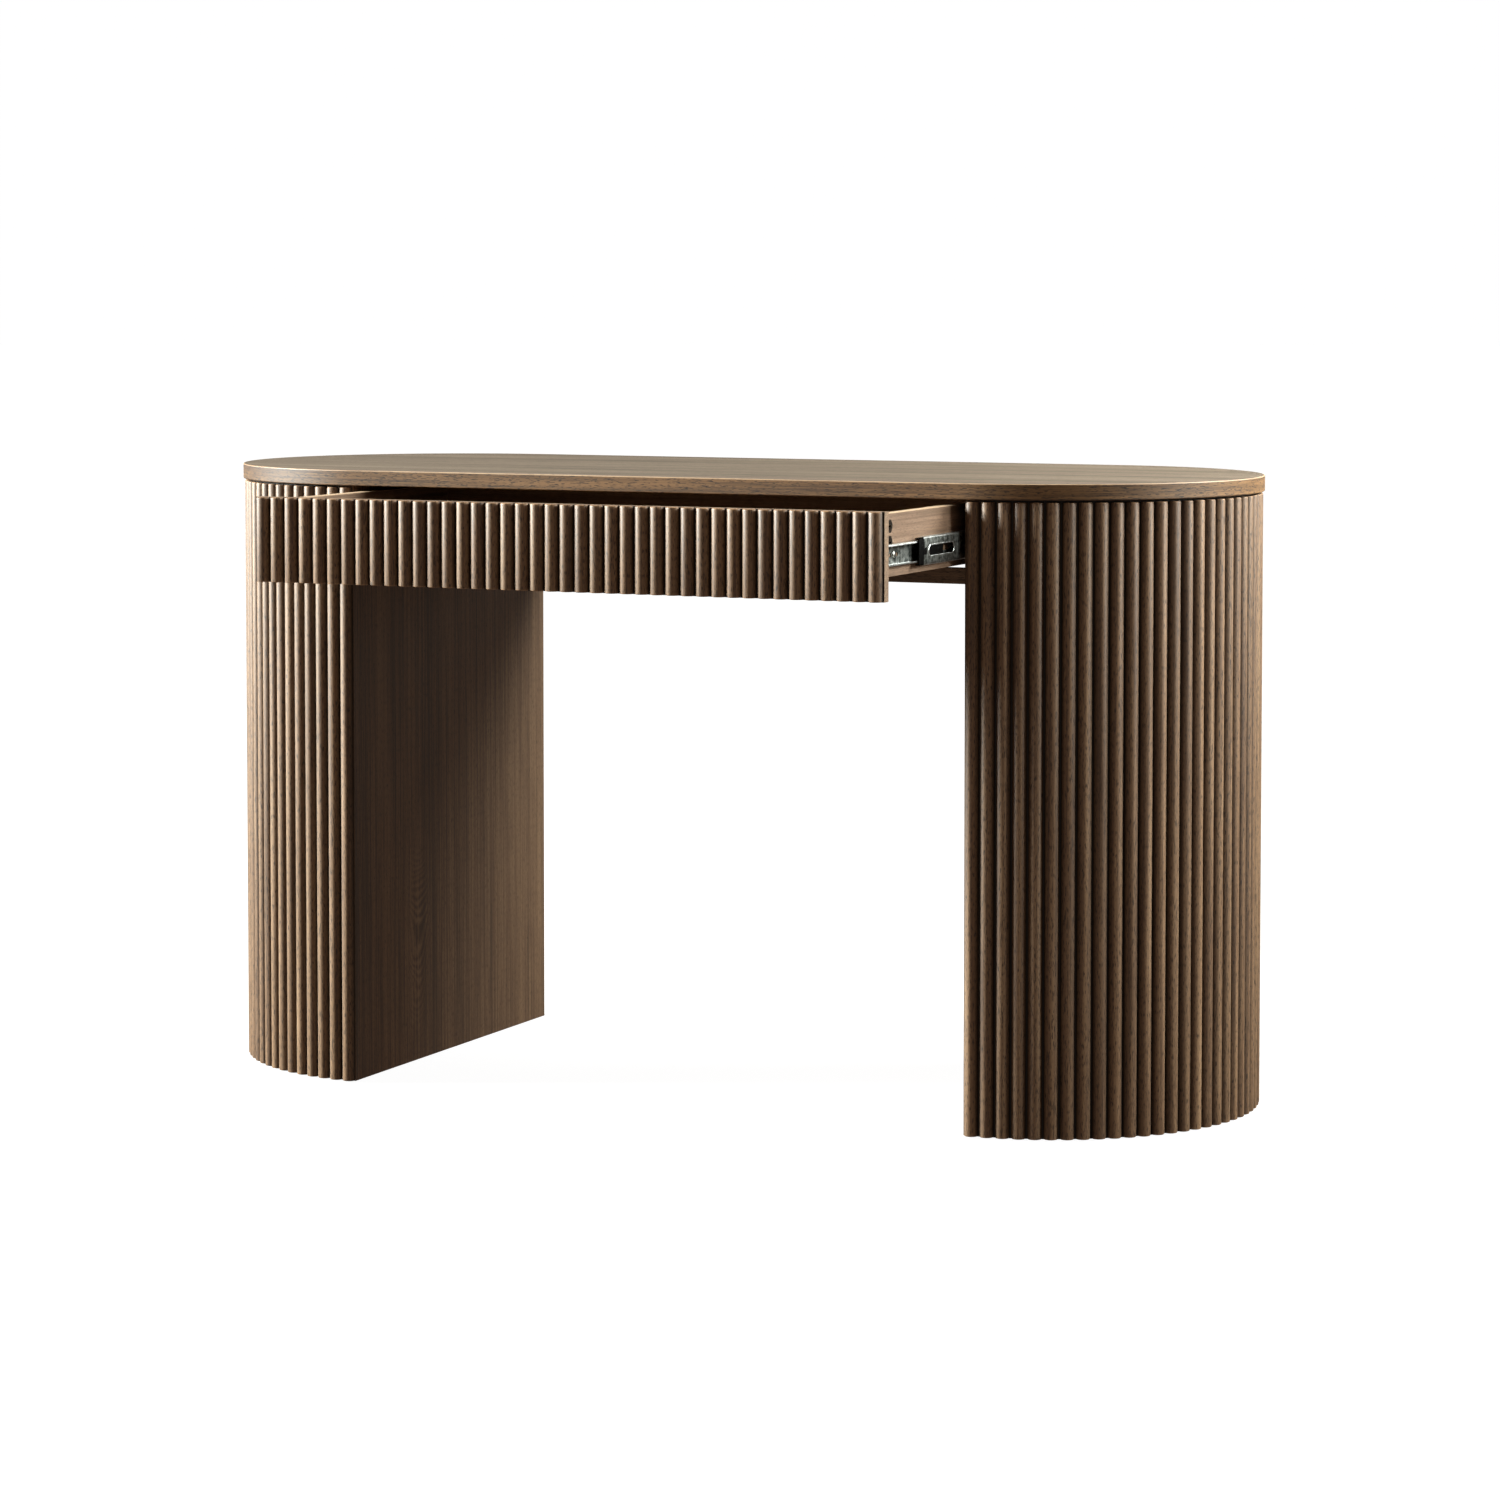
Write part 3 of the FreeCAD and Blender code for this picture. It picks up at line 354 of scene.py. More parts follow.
# The boards behind the reeds are drawn almost black as painted shade, which makes the grooves look deep.
BACKING_PAINTED_SHADE = {"dark": "#0d0906", "middle": "#16100b", "light": "#201710", "pore": "#070504"}
backing_painted_shade = stained_ash("ash backing, painted groove shade", ALONG_Z, colours=BACKING_PAINTED_SHADE)
RAIL_ASH = {"dark": "#655140", "middle": "#826952", "light": "#997d63", "pore": "#3a2c1f"}
ash_rail = stained_ash("ash rail, stained", ALONG_X, colours=RAIL_ASH)
print("panel material:", ash_panel.name)

# %% [markdown]
# A drawer's box is usually of paler, plainer wood than its front, and the grain of each board runs
# along it. The same recipe serves, with lighter stain colours and the grain turned.

# %% Drawer box wood
PALE = {"dark": "#67513f", "middle": "#7b624e", "light": "#8a705b", "pore": "#4f3c2d"}
drawer_wood = stained_ash("drawer wood, clear lacquer", ALONG_Y, colours=PALE, pores=0.5, roughness=0.45,
                          contrast=1.5)
drawer_back_wood = stained_ash("drawer back wood, matt lacquer", ALONG_X, colours=PALE, pores=0.35,
                               roughness=0.82, lacquer=0.2)
# The sides' top edges are drawn pale, a painted highlight where the light catches them.
EDGE_HIGHLIGHT_PALE = {"dark": "#a98e6f", "middle": "#c1a586", "light": "#d5ba9b", "pore": "#8a6f54"}
drawer_edge_highlight = stained_ash("drawer edge, painted highlight", ALONG_Y, colours=EDGE_HIGHLIGHT_PALE, pores=0.3)
inside_wood = stained_ash("unfinished inside board", ALONG_X, colours=PALE, pores=0.5, roughness=0.7)
print("drawer materials:", drawer_wood.name, "and", drawer_back_wood.name)

# %% [markdown]
# Zinc-plated steel strip is a metal, so its colour comes from reflection: metallic is 1 and the
# default IOR stays. Plating leaves a faint mottle of darker and paler crystals a few millimetres wide.
# The bends are given a brighter colour than the flat web, as a painted highlight. Moulded plastics are
# plainer: a fine grit from the mould, and less shine.

# %% Slide and fitting materials
MOTTLE_EDGE = (0.36, 0.64)
MOTTLE_GLOSS = (-0.08, 0.12)
GRIT_BUMP = 0.3
GRIT_DEPTH = 0.08 * MM


def plated_steel(name, dark, light, roughness, mottle_mm=5.0):
    """Zinc-plated or polished steel, mottled at this size."""
    material, tree, shader = new_material(name, Metallic=1.0)
    place = add(tree, "ShaderNodeTexCoord").outputs["Object"]
    grain = {"Scale": 1 / (mottle_mm * MM), "Detail": 4.0, "Roughness": 0.65}
    mottle = add(tree, "ShaderNodeTexNoise", grain, {"Vector": place}).outputs["Fac"]
    shade = add(tree, "ShaderNodeMapRange", {"From Min": MOTTLE_EDGE[0], "From Max": MOTTLE_EDGE[1]},
                {"Value": mottle}).outputs[0]
    colour = add(tree, "ShaderNodeMix", {"data_type": "RGBA", 6: linear(dark), 7: linear(light)}, {0: shade})
    tree.links.new(colour.outputs[2], shader.inputs["Base Color"])
    gloss = add(tree, "ShaderNodeMapRange", {"To Min": roughness + MOTTLE_GLOSS[0],
                                             "To Max": roughness + MOTTLE_GLOSS[1]},
                {"Value": mottle}).outputs[0]
    tree.links.new(gloss, shader.inputs["Roughness"])
    return material


def moulded_plastic(name, dark, light, roughness, grit_mm=0.8, shine=0.5):
    """Moulded plastic with the fine spark texture that its mould gives it."""
    material, tree, shader = new_material(name, IOR=1.49, Specular_IOR_Level=shine)
    place = add(tree, "ShaderNodeTexCoord").outputs["Object"]
    grit = add(tree, "ShaderNodeTexNoise", {"Scale": 1 / (grit_mm * MM), "Detail": 2.0},
               {"Vector": place}).outputs["Fac"]
    colour = add(tree, "ShaderNodeMix", {"data_type": "RGBA", 6: linear(dark), 7: linear(light)}, {0: grit})
    tree.links.new(colour.outputs[2], shader.inputs["Base Color"])
    shader.inputs["Roughness"].default_value = roughness
    bump = add(tree, "ShaderNodeBump", {"Strength": GRIT_BUMP, "Distance": GRIT_DEPTH}, {"Height": grit})
    tree.links.new(bump.outputs[0], shader.inputs["Normal"])
    return material


zinc = plated_steel("zinc plated steel strip", "#434846", "#b4b8b3", 0.35)
# Painted highlight: bends, lips and the slot's rim are drawn brighter than the web
zinc_painted_highlight = plated_steel("zinc strip, painted highlight on the bends", "#c2c6c4", "#eceeec", 0.34)
# Small screws glint, ground balls mirror the room, cast cams stay dark, and moulded nylon hardly shines.
screw_zinc = plated_steel("zinc plated screw", "#9a9a94", "#d8d6ce", 0.28, mottle_mm=1.5)
ball_steel = plated_steel("polished bearing steel", "#b9bcbd", "#dfe1e2", 0.14, mottle_mm=1.0)
cage_strip = plated_steel("rolled cage strip", "#5f6466", "#8d9293", 0.36)
cam_metal = plated_steel("dark die-cast zinc", "#241f1b", "#3a322b", 0.45, mottle_mm=2.0)
black_nylon = moulded_plastic("black moulded nylon", "#030303", "#080808", 0.40, shine=0.06)
brown_nylon = moulded_plastic("brown moulded nylon glide", "#3a3029", "#4b3f36", 0.5)
dowel_beech = stained_ash("turned beech dowel", ALONG_X, colours=PALE, pores=0.2, roughness=0.6)
print("metals and plastics ready")

# %% [markdown]
# Flat boards, pins and small fittings already have their real shape in the frame, so they keep it and
# only get a finish. Some faces get one of their own: the boards behind the reeds are drawn near black as
# painted shade, so that the grooves read deep, and the top edges of the drawer's sides are drawn pale as
# a painted highlight.

# %% Finish the frame pieces that keep their CAD shape
LOOKS_THAT_WAY = 0.9
finished = []


def finish_nodes(material, *names):
    finished.extend(names)
    for name in names:
        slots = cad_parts[name].material_slots
        if not slots:
            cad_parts[name].data.materials.append(material)
        for holder in slots:
            holder.material = material


def give_face_painted_light(name, way, material):
    """Give the faces of a board that look this way a finish of their own: painted shade or a painted
    highlight.
    """
    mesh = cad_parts[name].data
    mesh.materials.append(material)
    for polygon in mesh.polygons:
        if polygon.normal.dot(Vector(way)) > LOOKS_THAT_WAY:
            polygon.material_index = len(mesh.materials) - 1


SIDES = {"left": -1, "right": 1}
for side in SIDES:
    finish_nodes(ash_panel, f"{side}_inner_panel")
    # Painted shade: the curved core shows only in the grooves, drawn near black
    finish_nodes(backing_painted_shade, f"{side}_curved_core")
    finish_nodes(inside_wood, f"{side}_top_plate", f"{side}_middle_rib", f"{side}_bottom_plate")
    finish_nodes(drawer_wood, f"drawer_{side}_side")
    finish_nodes(cam_metal, f"drawer_{side}_cams")
    finish_nodes(cage_strip, f"{side}_outer_cage", f"{side}_inner_cage")
    finish_nodes(ball_steel, f"{side}_outer_balls", f"{side}_inner_balls")
    finish_nodes(screw_zinc, f"{side}_top_screws")
    finish_nodes(brown_nylon, f"{side}_glides")
finish_nodes(ash_rail, "front_rail", "drawer_front_panel", "rear_apron_panel")
# Painted shade on the faces behind the reeds, and a painted highlight on the drawer sides' top edges
give_face_painted_light("drawer_front_panel", (0, -1, 0), backing_painted_shade)
give_face_painted_light("rear_apron_panel", (0, 1, 0), backing_painted_shade)
for side in SIDES:
    give_face_painted_light(f"drawer_{side}_side", (0, 0, 1), drawer_edge_highlight)
finish_nodes(drawer_back_wood, "drawer_back", "drawer_bottom")
finish_nodes(dowel_beech, "rail_dowels", "apron_dowels")
finish_nodes(screw_zinc, "apron_bracket_screws", "drawer_cam_bolts")
print("frame pieces with a finish:", len(finished))

# %% [markdown]
# New pieces are meshes made from points and faces. Each one rides on a body of the frame, gets its
# finishes and, where it stands for a frame piece, hides the one it replaces.

# %% Piece helper
SMOOTH_UNDER = math.radians(32)


def solid_mesh(name, points, faces):
    """A closed mesh with its faces turned outward, smooth but for its sharp edges."""
    mesh = bpy.data.meshes.new(name)
    mesh.from_pydata(points, [], faces)
    shape = bmesh.new()
    shape.from_mesh(mesh)
    bmesh.ops.recalc_face_normals(shape, faces=shape.faces)
    shape.to_mesh(mesh)
    shape.free()
    mesh.shade_smooth()
    mesh.set_sharp_from_angle(angle=SMOOTH_UNDER)
    return mesh


def make_piece(name, points, faces, materials, body, node):
    piece = bpy.data.objects.new(name, solid_mesh(name, points, faces))
    for material in materials:
        piece.data.materials.append(material)
    scene.collection.objects.link(piece)
    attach(piece, body)
    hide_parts(node)
    return piece


print("smooth shading under", round(math.degrees(SMOOTH_UNDER)), "degrees")

# %% [markdown]
# The top is a slab with two straight edges and two half-round ends. Its veneer runs along the desk, and
# a band of edging runs round it. The sharp corners are eased by hand sanding, which leaves a fine pale
# line where the stain is thin; the line is drawn paler still, as a painted highlight. Rings of points,
# set in and up by a quarter circle, make the eased edge.

# %% Desk top
ARRIS = 1.2 * MM
ARRIS_STEPS = 4
HOLD = 0.5 * MM
END_STEPS = 72
STRAIGHT_STEPS = 24
BAND_BOARD = 0.3
top_low, top_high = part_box("desk_top")
end_radius = (top_high.y - top_low.y) / 2
desk_y = (top_high.y + top_low.y) / 2
knee_half = top_high.x - end_radius


def stadium(half_straight, radius, arc_steps, straight_steps=1):
    """Points round two half circles joined by straights, about the origin."""
    ring = []
    for step in range(arc_steps):
        a = -math.pi / 2 + math.pi * step / arc_steps
        ring.append((half_straight + radius * math.cos(a), radius * math.sin(a)))
    for step in range(straight_steps):
        ring.append((half_straight - 2 * half_straight * step / straight_steps, radius))
    return ring + [(-x, -y) for x, y in ring]


def top_outline(inset):
    """Points round the slab, from the rear right, where the two ends of the edge band meet."""
    ring = stadium(knee_half, end_radius - inset, END_STEPS, STRAIGHT_STEPS)
    return [(x, desk_y + y) for x, y in ring[END_STEPS:] + ring[:END_STEPS]]


def eased_levels(low, high):
    """Inset and height of each ring from the lower face to the upper one. A ring to each side of an
    eased corner keeps the smoothed shading off the flat faces."""
    turns = [math.pi / 2 * step / ARRIS_STEPS for step in range(ARRIS_STEPS + 1)]
    rise = [(ARRIS + HOLD, low)]
    rise += [(ARRIS * (1 - math.sin(a)), low + ARRIS * (1 - math.cos(a))) for a in turns]
    rise.append((0.0, low + ARRIS + HOLD))
    return rise + [(inset, low + high - z) for inset, z in reversed(rise)]


def make_top():
    levels = eased_levels(top_low.z, top_high.z)
    rings = [top_outline(inset) for inset, _ in levels]
    count = len(rings[0])
    points = [(x, y, z) for ring, (_, z) in zip(rings, levels) for x, y in ring]
    outer = rings[ARRIS_STEPS + 2]
    walked = [0.0]
    for here, there in zip(outer, outer[1:] + outer[:1]):
        walked.append(walked[-1] + math.dist(here, there))
    veneer, band, arris = 0, 1, 2
    bands = [veneer] + [band] * (ARRIS_STEPS + 3) + [arris] * ARRIS_STEPS + [veneer]
    faces, kinds = [], []
    for level, kind in enumerate(bands):
        row, above = level * count, (level + 1) * count
        for i in range(count):
            j = (i + 1) % count
            faces.append((row + i, row + j, above + j, above + i))
            kinds.append(kind)
    faces += [tuple(reversed(range(count))), tuple(range((len(levels) - 1) * count, len(levels) * count))]
    kinds += [veneer, veneer]
    piece = make_piece("desk_top_slab", points, faces, [ash_top_painted_sheen, ash_edge, arris_wear_and_highlight], "carcass",
                       "desk_top")
    mesh = piece.data
    mesh.polygons.foreach_set("material_index", kinds)
    grain = mesh.attributes.new("grain", "FLOAT_VECTOR", "CORNER")
    for polygon in mesh.polygons:
        for corner in polygon.loop_indices:
            vertex = mesh.loops[corner].vertex_index
            x, y, z = mesh.vertices[vertex].co
            closing = vertex % count == 0 and max(v % count for v in polygon.vertices) == count - 1
            round_edge = walked[count] if closing else walked[vertex % count]
            flat = polygon.material_index == veneer
            grain.data[corner].vector = (y, z, x) if flat else (z, BAND_BOARD, round_edge)
    return piece


desk_top = make_top()
print("top:", len(desk_top.data.vertices), "points, knee space", round(2 * knee_half, 3), "m wide")

# %% [markdown]
# A reed is a half-round stick glued to the face behind it. The photograph shows narrow dark grooves
# between them, ends eased by sanding, and sticks cut from different boards, so each one has its own
# tone and figure. One function lays out a reed anywhere: it needs a foot, an outward direction and
# two heights. Each reed writes its own grain, so no two look alike. It also writes how near a point is
# to the groove, and the colour is darkened there as painted shade.

# %% Reeds
REED_WIDTH = 17 * MM
REED_RISE = 8 * MM
REED_EASE = 1.8 * MM
# How steeply the painted shade of a groove fades, and how much paler the eased ends are drawn as a painted
# highlight
GROOVE_SHADE_FALLOFF = {"round": 2.2, "flat": 6.0}
END_HIGHLIGHT = 3.0
TONE_SPREAD = 0.22
# Where the reeds lie in the log that their grain is drawn from, in metres: two steps and two spreads
LOG = {"next_reed": 0.11, "next_row": 0.31, "deep": 5, "long": 3}
# Inset and height of the eased end, as shares of its size
EASE_PROFILE = ((1.0, 0.0), (0.42, 0.12), (0.1, 0.45), (0.0, 1.0))
ARC_STEPS = 18
reed_arc = (REED_WIDTH ** 2 / 4 + REED_RISE ** 2) / (2 * REED_RISE)
reed_half_angle = math.acos((reed_arc - REED_RISE) / reed_arc)


def reed_levels(low, high):
    soft = [(inset * REED_EASE, z * REED_EASE) for inset, z in EASE_PROFILE]
    return [(inset, low + z) for inset, z in soft] + [(inset, high - z) for inset, z in reversed(soft)]


def make_reeds(name, feet, low, high, body, node, seed, face):
    """Reeds at feet, each a foot point and an outward direction in plan."""
    chance = random.Random(seed)
    points, faces, grain, tones, groove_shades = [], [], [], [], []
    levels = reed_levels(low, high)
    across_count = ARC_STEPS + 1
    for index, (foot, outward) in enumerate(feet):
        side_way = Vector((-outward.y, outward.x))
        tone = chance.gauss(0, TONE_SPREAD)
        shift = Vector((LOG["next_reed"] * index + LOG["next_row"] * seed, chance.uniform(0, LOG["deep"]),
                        chance.uniform(0, LOG["long"])))
        start = len(points)
        for inset, z in levels:
            for step in range(across_count):
                a = reed_half_angle * (2 * step / ARC_STEPS - 1)
                radius = reed_arc - inset
                spot = foot + side_way * radius * math.sin(a) \
                    + outward * max(0.0, radius * math.cos(a) - reed_arc + REED_RISE)
                points.append((spot.x, spot.y, z))
                grain.append((shift.x + reed_arc * a, shift.y, shift.z + z))
                # Painted highlight: the eased ends are drawn paler
                tones.append(tone + (END_HIGHLIGHT if inset > 0 else 0))
                # Painted shade: how far into the groove's shade this point lies
                groove_shades.append(abs(a / reed_half_angle) ** GROOVE_SHADE_FALLOFF[face])
        for level in range(len(levels) - 1):
            for step in range(across_count):
                after = (step + 1) % across_count
                row, above = start + level * across_count, start + (level + 1) * across_count
                faces.append((row + step, row + after, above + after, above + step))
        last = start + (len(levels) - 1) * across_count
        faces.append(tuple(range(start + across_count - 1, start - 1, -1)))
        faces.append(tuple(range(last, last + across_count)))
    piece = make_piece(name, points, faces, [ash_reed], body, node)
    mesh = piece.data
    grains = mesh.attributes.new("grain", "FLOAT_VECTOR", "POINT")
    grains.data.foreach_set("vector", [part for spot in grain for part in spot])
    mesh.attributes.new("tone", "FLOAT", "POINT").data.foreach_set("value", tones)
    mesh.attributes.new("groove_shade", "FLOAT", "POINT").data.foreach_set("value", groove_shades)
    return piece


PEDESTAL_REEDS = 43
FLAT_REEDS = 42
ROW_SEEDS = {"left": 1, "right": 2}
for side, sign in SIDES.items():
    low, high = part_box(f"{side}_reeds")
    core_radius = max(abs(low.x), abs(high.x)) - knee_half - REED_RISE
    feet = []
    for index in range(PEDESTAL_REEDS):
        a = math.pi * (index + 0.5) / PEDESTAL_REEDS - math.pi / 2
        outward = Vector((sign * math.cos(a), math.sin(a)))
        feet.append((Vector((sign * knee_half, desk_y)) + outward * core_radius, outward))
    make_reeds(f"{side}_reed_sticks", feet, low.z, high.z, "carcass", f"{side}_reeds",
               ROW_SEEDS[side], "round")

for node, body, slot, forward, seed in (("drawer_front_reeds", "drawer", "drawer_reed_veneer", -1, 3),
                                        ("rear_apron_reeds", "carcass", "reed_veneer", 1, 4)):
    low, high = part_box(node)
    pitch = (high.x - low.x - REED_WIDTH) / (FLAT_REEDS - 1)
    foot_y = high.y if forward < 0 else low.y
    first_x = low.x + REED_WIDTH / 2
    feet = [(Vector((first_x + pitch * i, foot_y)), Vector((0, forward))) for i in range(FLAT_REEDS)]
    make_reeds(node.replace("reeds", "reed_sticks"), feet, low.z, high.z, body, node, seed, "flat")
print("reeds:", 2 * PEDESTAL_REEDS + 2 * FLAT_REEDS)

# %% [markdown]
# A ball slide has three members, each a long strip of steel rolled into a channel: rounded bends, and
# lips curled in at the edges to hold the balls. A bent strip is easy to make from the middle line of
# its section: step half a thickness to both sides of it, then draw the section out along the slide.

# %% Rolled slide members
WAVE_STEPS = 3
BENT_OVER = 0.35
# Millimetres
STEEL = 1.0
BEND = 2.0
LIP_BEND = 0.8
RACE_WIDTH = 1.7
RACE_DEPTH = 0.7
RIM_RISE = 0.4
LIPS = {"outer": 0.9, "middle": 0.7, "inner": 1.6}
INNER_RACE = 3.25


def quarter(centre, radius, start, steps=4):
    """Points of a quarter circle from the start angle on."""
    angles = [start + math.pi / 2 * step / steps for step in range(steps + 1)]
    return [(centre[0] + radius * math.cos(a), centre[1] + radius * math.sin(a)) for a in angles]


def channel_path(reach, half, lip, race=None):
    """Middle line of a rolled channel in millimetres: distance from the web, and height."""
    upper = [(reach, half - lip)] + quarter((reach - LIP_BEND, half - LIP_BEND), LIP_BEND, 0)
    if race:
        waves = [(step / WAVE_STEPS, math.cos(math.pi / 2 * step / WAVE_STEPS) ** 2)
                 for step in range(WAVE_STEPS, -WAVE_STEPS - 1, -1)]
        upper += [(race + RACE_WIDTH * along, half - RACE_DEPTH * deep) for along, deep in waves]
    upper += quarter((BEND, half - BEND), BEND, math.pi / 2)
    return upper + [(out, -z) for out, z in reversed(upper)]


def swept_strip(path, thickness, ends, locate):
    """A strip with this middle line, drawn from one end to the other; locate turns a point of the
    section and a place along the strip into metres."""
    count = len(path)
    faces_of_strip = ([], [])
    for i, here in enumerate(path):
        before, after = Vector(path[max(i - 1, 0)]), Vector(path[min(i + 1, count - 1)])
        along = (after - before).normalized()
        step = Vector((-along.y, along.x)) * thickness / 2
        faces_of_strip[0].append(Vector(here) + step)
        faces_of_strip[1].append(Vector(here) - step)
    points = [locate(p.x, p.y, end) for end in ends for face in faces_of_strip for p in face]
    near, far, near_end, far_end = 0, count, 2 * count, 3 * count
    faces = []
    for i in range(count - 1):
        for a, b in ((near, near_end), (far, far_end), (near, far), (near_end, far_end)):
            faces.append((a + i, a + i + 1, b + i + 1, b + i))
    for i in (0, count - 1):
        faces.append((near + i, far + i, far_end + i, near_end + i))
    return points, faces


def slide_member(side, label, body):
    """One channel of a slide; its web lies against the panel, or against the drawer for the inner one."""
    sign = SIDES[side]
    node = f"{side}_slide_{label}"
    low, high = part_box(node)
    panel_face, drawer_face = max(abs(low.x), abs(high.x)), min(abs(low.x), abs(high.x))
    rim = RIM_RISE * MM if label == "middle" else 0.0
    depth = (panel_face - rim - drawer_face) / MM
    half = (high.z - low.z) / 2 / MM - STEEL / 2
    middle_z = (high.z + low.z) / 2

    def locate(out, z, y):
        if label == "inner":
            x = drawer_face + (STEEL / 2 + out) * MM
        else:
            x = panel_face - rim - (STEEL / 2 + out) * MM
        return (sign * x, y, middle_z + z * MM)

    path = channel_path(depth - STEEL, half, LIPS[label], INNER_RACE if label == "inner" else None)
    points, faces = swept_strip(path, STEEL, (low.y, high.y), locate)
    piece = make_piece(f"{node}_rolled", points, faces, [zinc, zinc_painted_highlight], body, node)
    web_x = locate(0, 0, 0)[0]
    for polygon in piece.data.polygons:
        # Painted highlight: faces off the flat web take the brighter zinc
        rolled = abs(polygon.center.x - web_x) > STEEL * MM or abs(polygon.normal.z) > BENT_OVER
        polygon.material_index = int(rolled)
    return piece


members = {}
for side in SIDES:
    for label, body in (("outer", "carcass"), ("middle", f"{side}_slide_middle"), ("inner", "drawer")):
        members[side, label] = slide_member(side, label, body)
print("slide members:", len(members))

# %% [markdown]
# Holes are punched through the webs after rolling. The middle member has one long hole with a raised
# rim near its front, which stiffens the strip. The inner one has small holes beside its front screw
# and a longer one further back, where the drawer's wood shows through.

# %% Punched holes and the rim
# Millimetres, but for the steps and for the turns of the rim, which are shares of half a circle
SLOT = {"inset": 15, "length": 76, "height": 11}
RIM_HALF = 0.8
RIM_TURN = 1.3
RIM_LEAD = 0.15
RIM_STEPS = 8
CUT_REACH = 3
LONG_HOLE_STEPS = 14
SMALL_HOLE_STEPS = 10
# Holes of the inner member: place from its front, half of the straight part, and radius
INNER_HOLES = ((23, 0.5, 2.4), (43, 0.5, 2.4), (192, 9.0, 3.4))


def prism(outline, centre, reach):
    """A cutter with this outline in Y and Z, as long as twice its reach in X; in millimetres."""
    count = len(outline)
    points = [(centre[0] + end * reach * MM, centre[1] + y * MM, centre[2] + z * MM)
              for end in (-1, 1) for y, z in outline]
    faces = [tuple(range(count)), tuple(range(2 * count - 1, count - 1, -1))]
    faces += [(i, (i + 1) % count, count + (i + 1) % count, count + i) for i in range(count)]
    cutter = bpy.data.objects.new("cutter", solid_mesh("cutter", points, faces))
    scene.collection.objects.link(cutter)
    return cutter


def punch(piece, cutters):
    """Cut the cutters out of the piece for good, and take them away."""
    for cutter in cutters:
        change = piece.modifiers.new("punch", "BOOLEAN")
        change.object = cutter
    drawn = piece.evaluated_get(bpy.context.evaluated_depsgraph_get())
    cut = bpy.data.meshes.new_from_object(drawn)
    piece.modifiers.clear()
    piece.data = cut
    for cutter in cutters:
        bpy.data.objects.remove(cutter)
    cut.shade_smooth()
    cut.set_sharp_from_angle(angle=SMOOTH_UNDER)


def rim_bead(half_straight, radius, centre, outward):
    """A half-round bead round a long hole, on the web's face."""
    points, faces = [], []
    ring = stadium(half_straight, radius, LONG_HOLE_STEPS)
    for y, z in ring:
        foot = max(-half_straight, min(half_straight, y))
        way = Vector((y - foot, z)).normalized()
        for step in range(RIM_STEPS):
            a = math.pi * (RIM_TURN * step / (RIM_STEPS - 1) - RIM_LEAD)
            spread = RIM_HALF * (1 - math.cos(a))
            points.append((centre[0] + outward * RIM_RISE * math.sin(a) * MM,
                           centre[1] + (y + way.x * spread) * MM, centre[2] + (z + way.y * spread) * MM))
    count = len(ring)
    for i in range(count):
        row, beside = i * RIM_STEPS, (i + 1) % count * RIM_STEPS
        for step in range(RIM_STEPS):
            after = (step + 1) % RIM_STEPS
            faces.append((row + step, beside + step, beside + after, row + after))
    return points, faces


for side, sign in SIDES.items():
    low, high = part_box(f"{side}_slide_middle")
    web_x = sign * (max(abs(low.x), abs(high.x)) - RIM_RISE * MM)
    slot_radius = SLOT["height"] / 2
    slot_half = SLOT["length"] / 2 - slot_radius
    centre = (web_x, low.y + (SLOT["inset"] + SLOT["length"] / 2) * MM, (low.z + high.z) / 2)
    slot_cutter = prism(stadium(slot_half, slot_radius, LONG_HOLE_STEPS), centre, CUT_REACH)
    punch(members[side, "middle"], [slot_cutter])
    points, faces = rim_bead(slot_half, slot_radius, centre, sign)
    # Painted highlight: the rim is drawn in the brighter zinc
    make_piece(f"{side}_slide_slot_rim", points, faces, [zinc_painted_highlight], f"{side}_slide_middle",
               f"{side}_slide_middle")

    low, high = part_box(f"{side}_slide_inner")
    web_x = sign * min(abs(low.x), abs(high.x))
    middle_z = (low.z + high.z) / 2
    cutters = [prism(stadium(half, radius, SMALL_HOLE_STEPS), (web_x, low.y + at * MM, middle_z),
                     CUT_REACH) for at, half, radius in INNER_HOLES]
    punch(members[side, "inner"], cutters)
print("middle web holes:", SLOT)

# %% [markdown]
# The stop on the front of the middle member is moulded in black nylon: a plate that clips over the web
# with a tongue, two jaws that wrap the inner member, and a flat tail that shows dark through the long
# hole. Moulded corners are never sharp, so it is put together from blocks with rounded edges.

# %% Moulded stops
def rounded_box(low, high, radius):
    shape = bmesh.new()
    bmesh.ops.create_cube(shape, size=1.0)
    low, high = [min(a, b) for a, b in zip(low, high)], [max(a, b) for a, b in zip(low, high)]
    for vert in shape.verts:
        vert.co = [a if c < 0 else b for c, a, b in zip(vert.co, low, high)]
    bmesh.ops.bevel(shape, geom=shape.edges[:], offset=radius, segments=3, profile=0.5, affect="EDGES")
    shape.verts.index_update()
    points = [tuple(v.co) for v in shape.verts]
    faces = [tuple(v.index for v in f.verts) for f in shape.faces]
    shape.free()
    return points, faces


def joined(shapes):
    """Several shapes as one list of points and faces."""
    points, faces = [], []
    for more_points, more_faces in shapes:
        start = len(points)
        points += more_points
        faces += [tuple(start + i for i in face) for face in more_faces]
    return points, faces


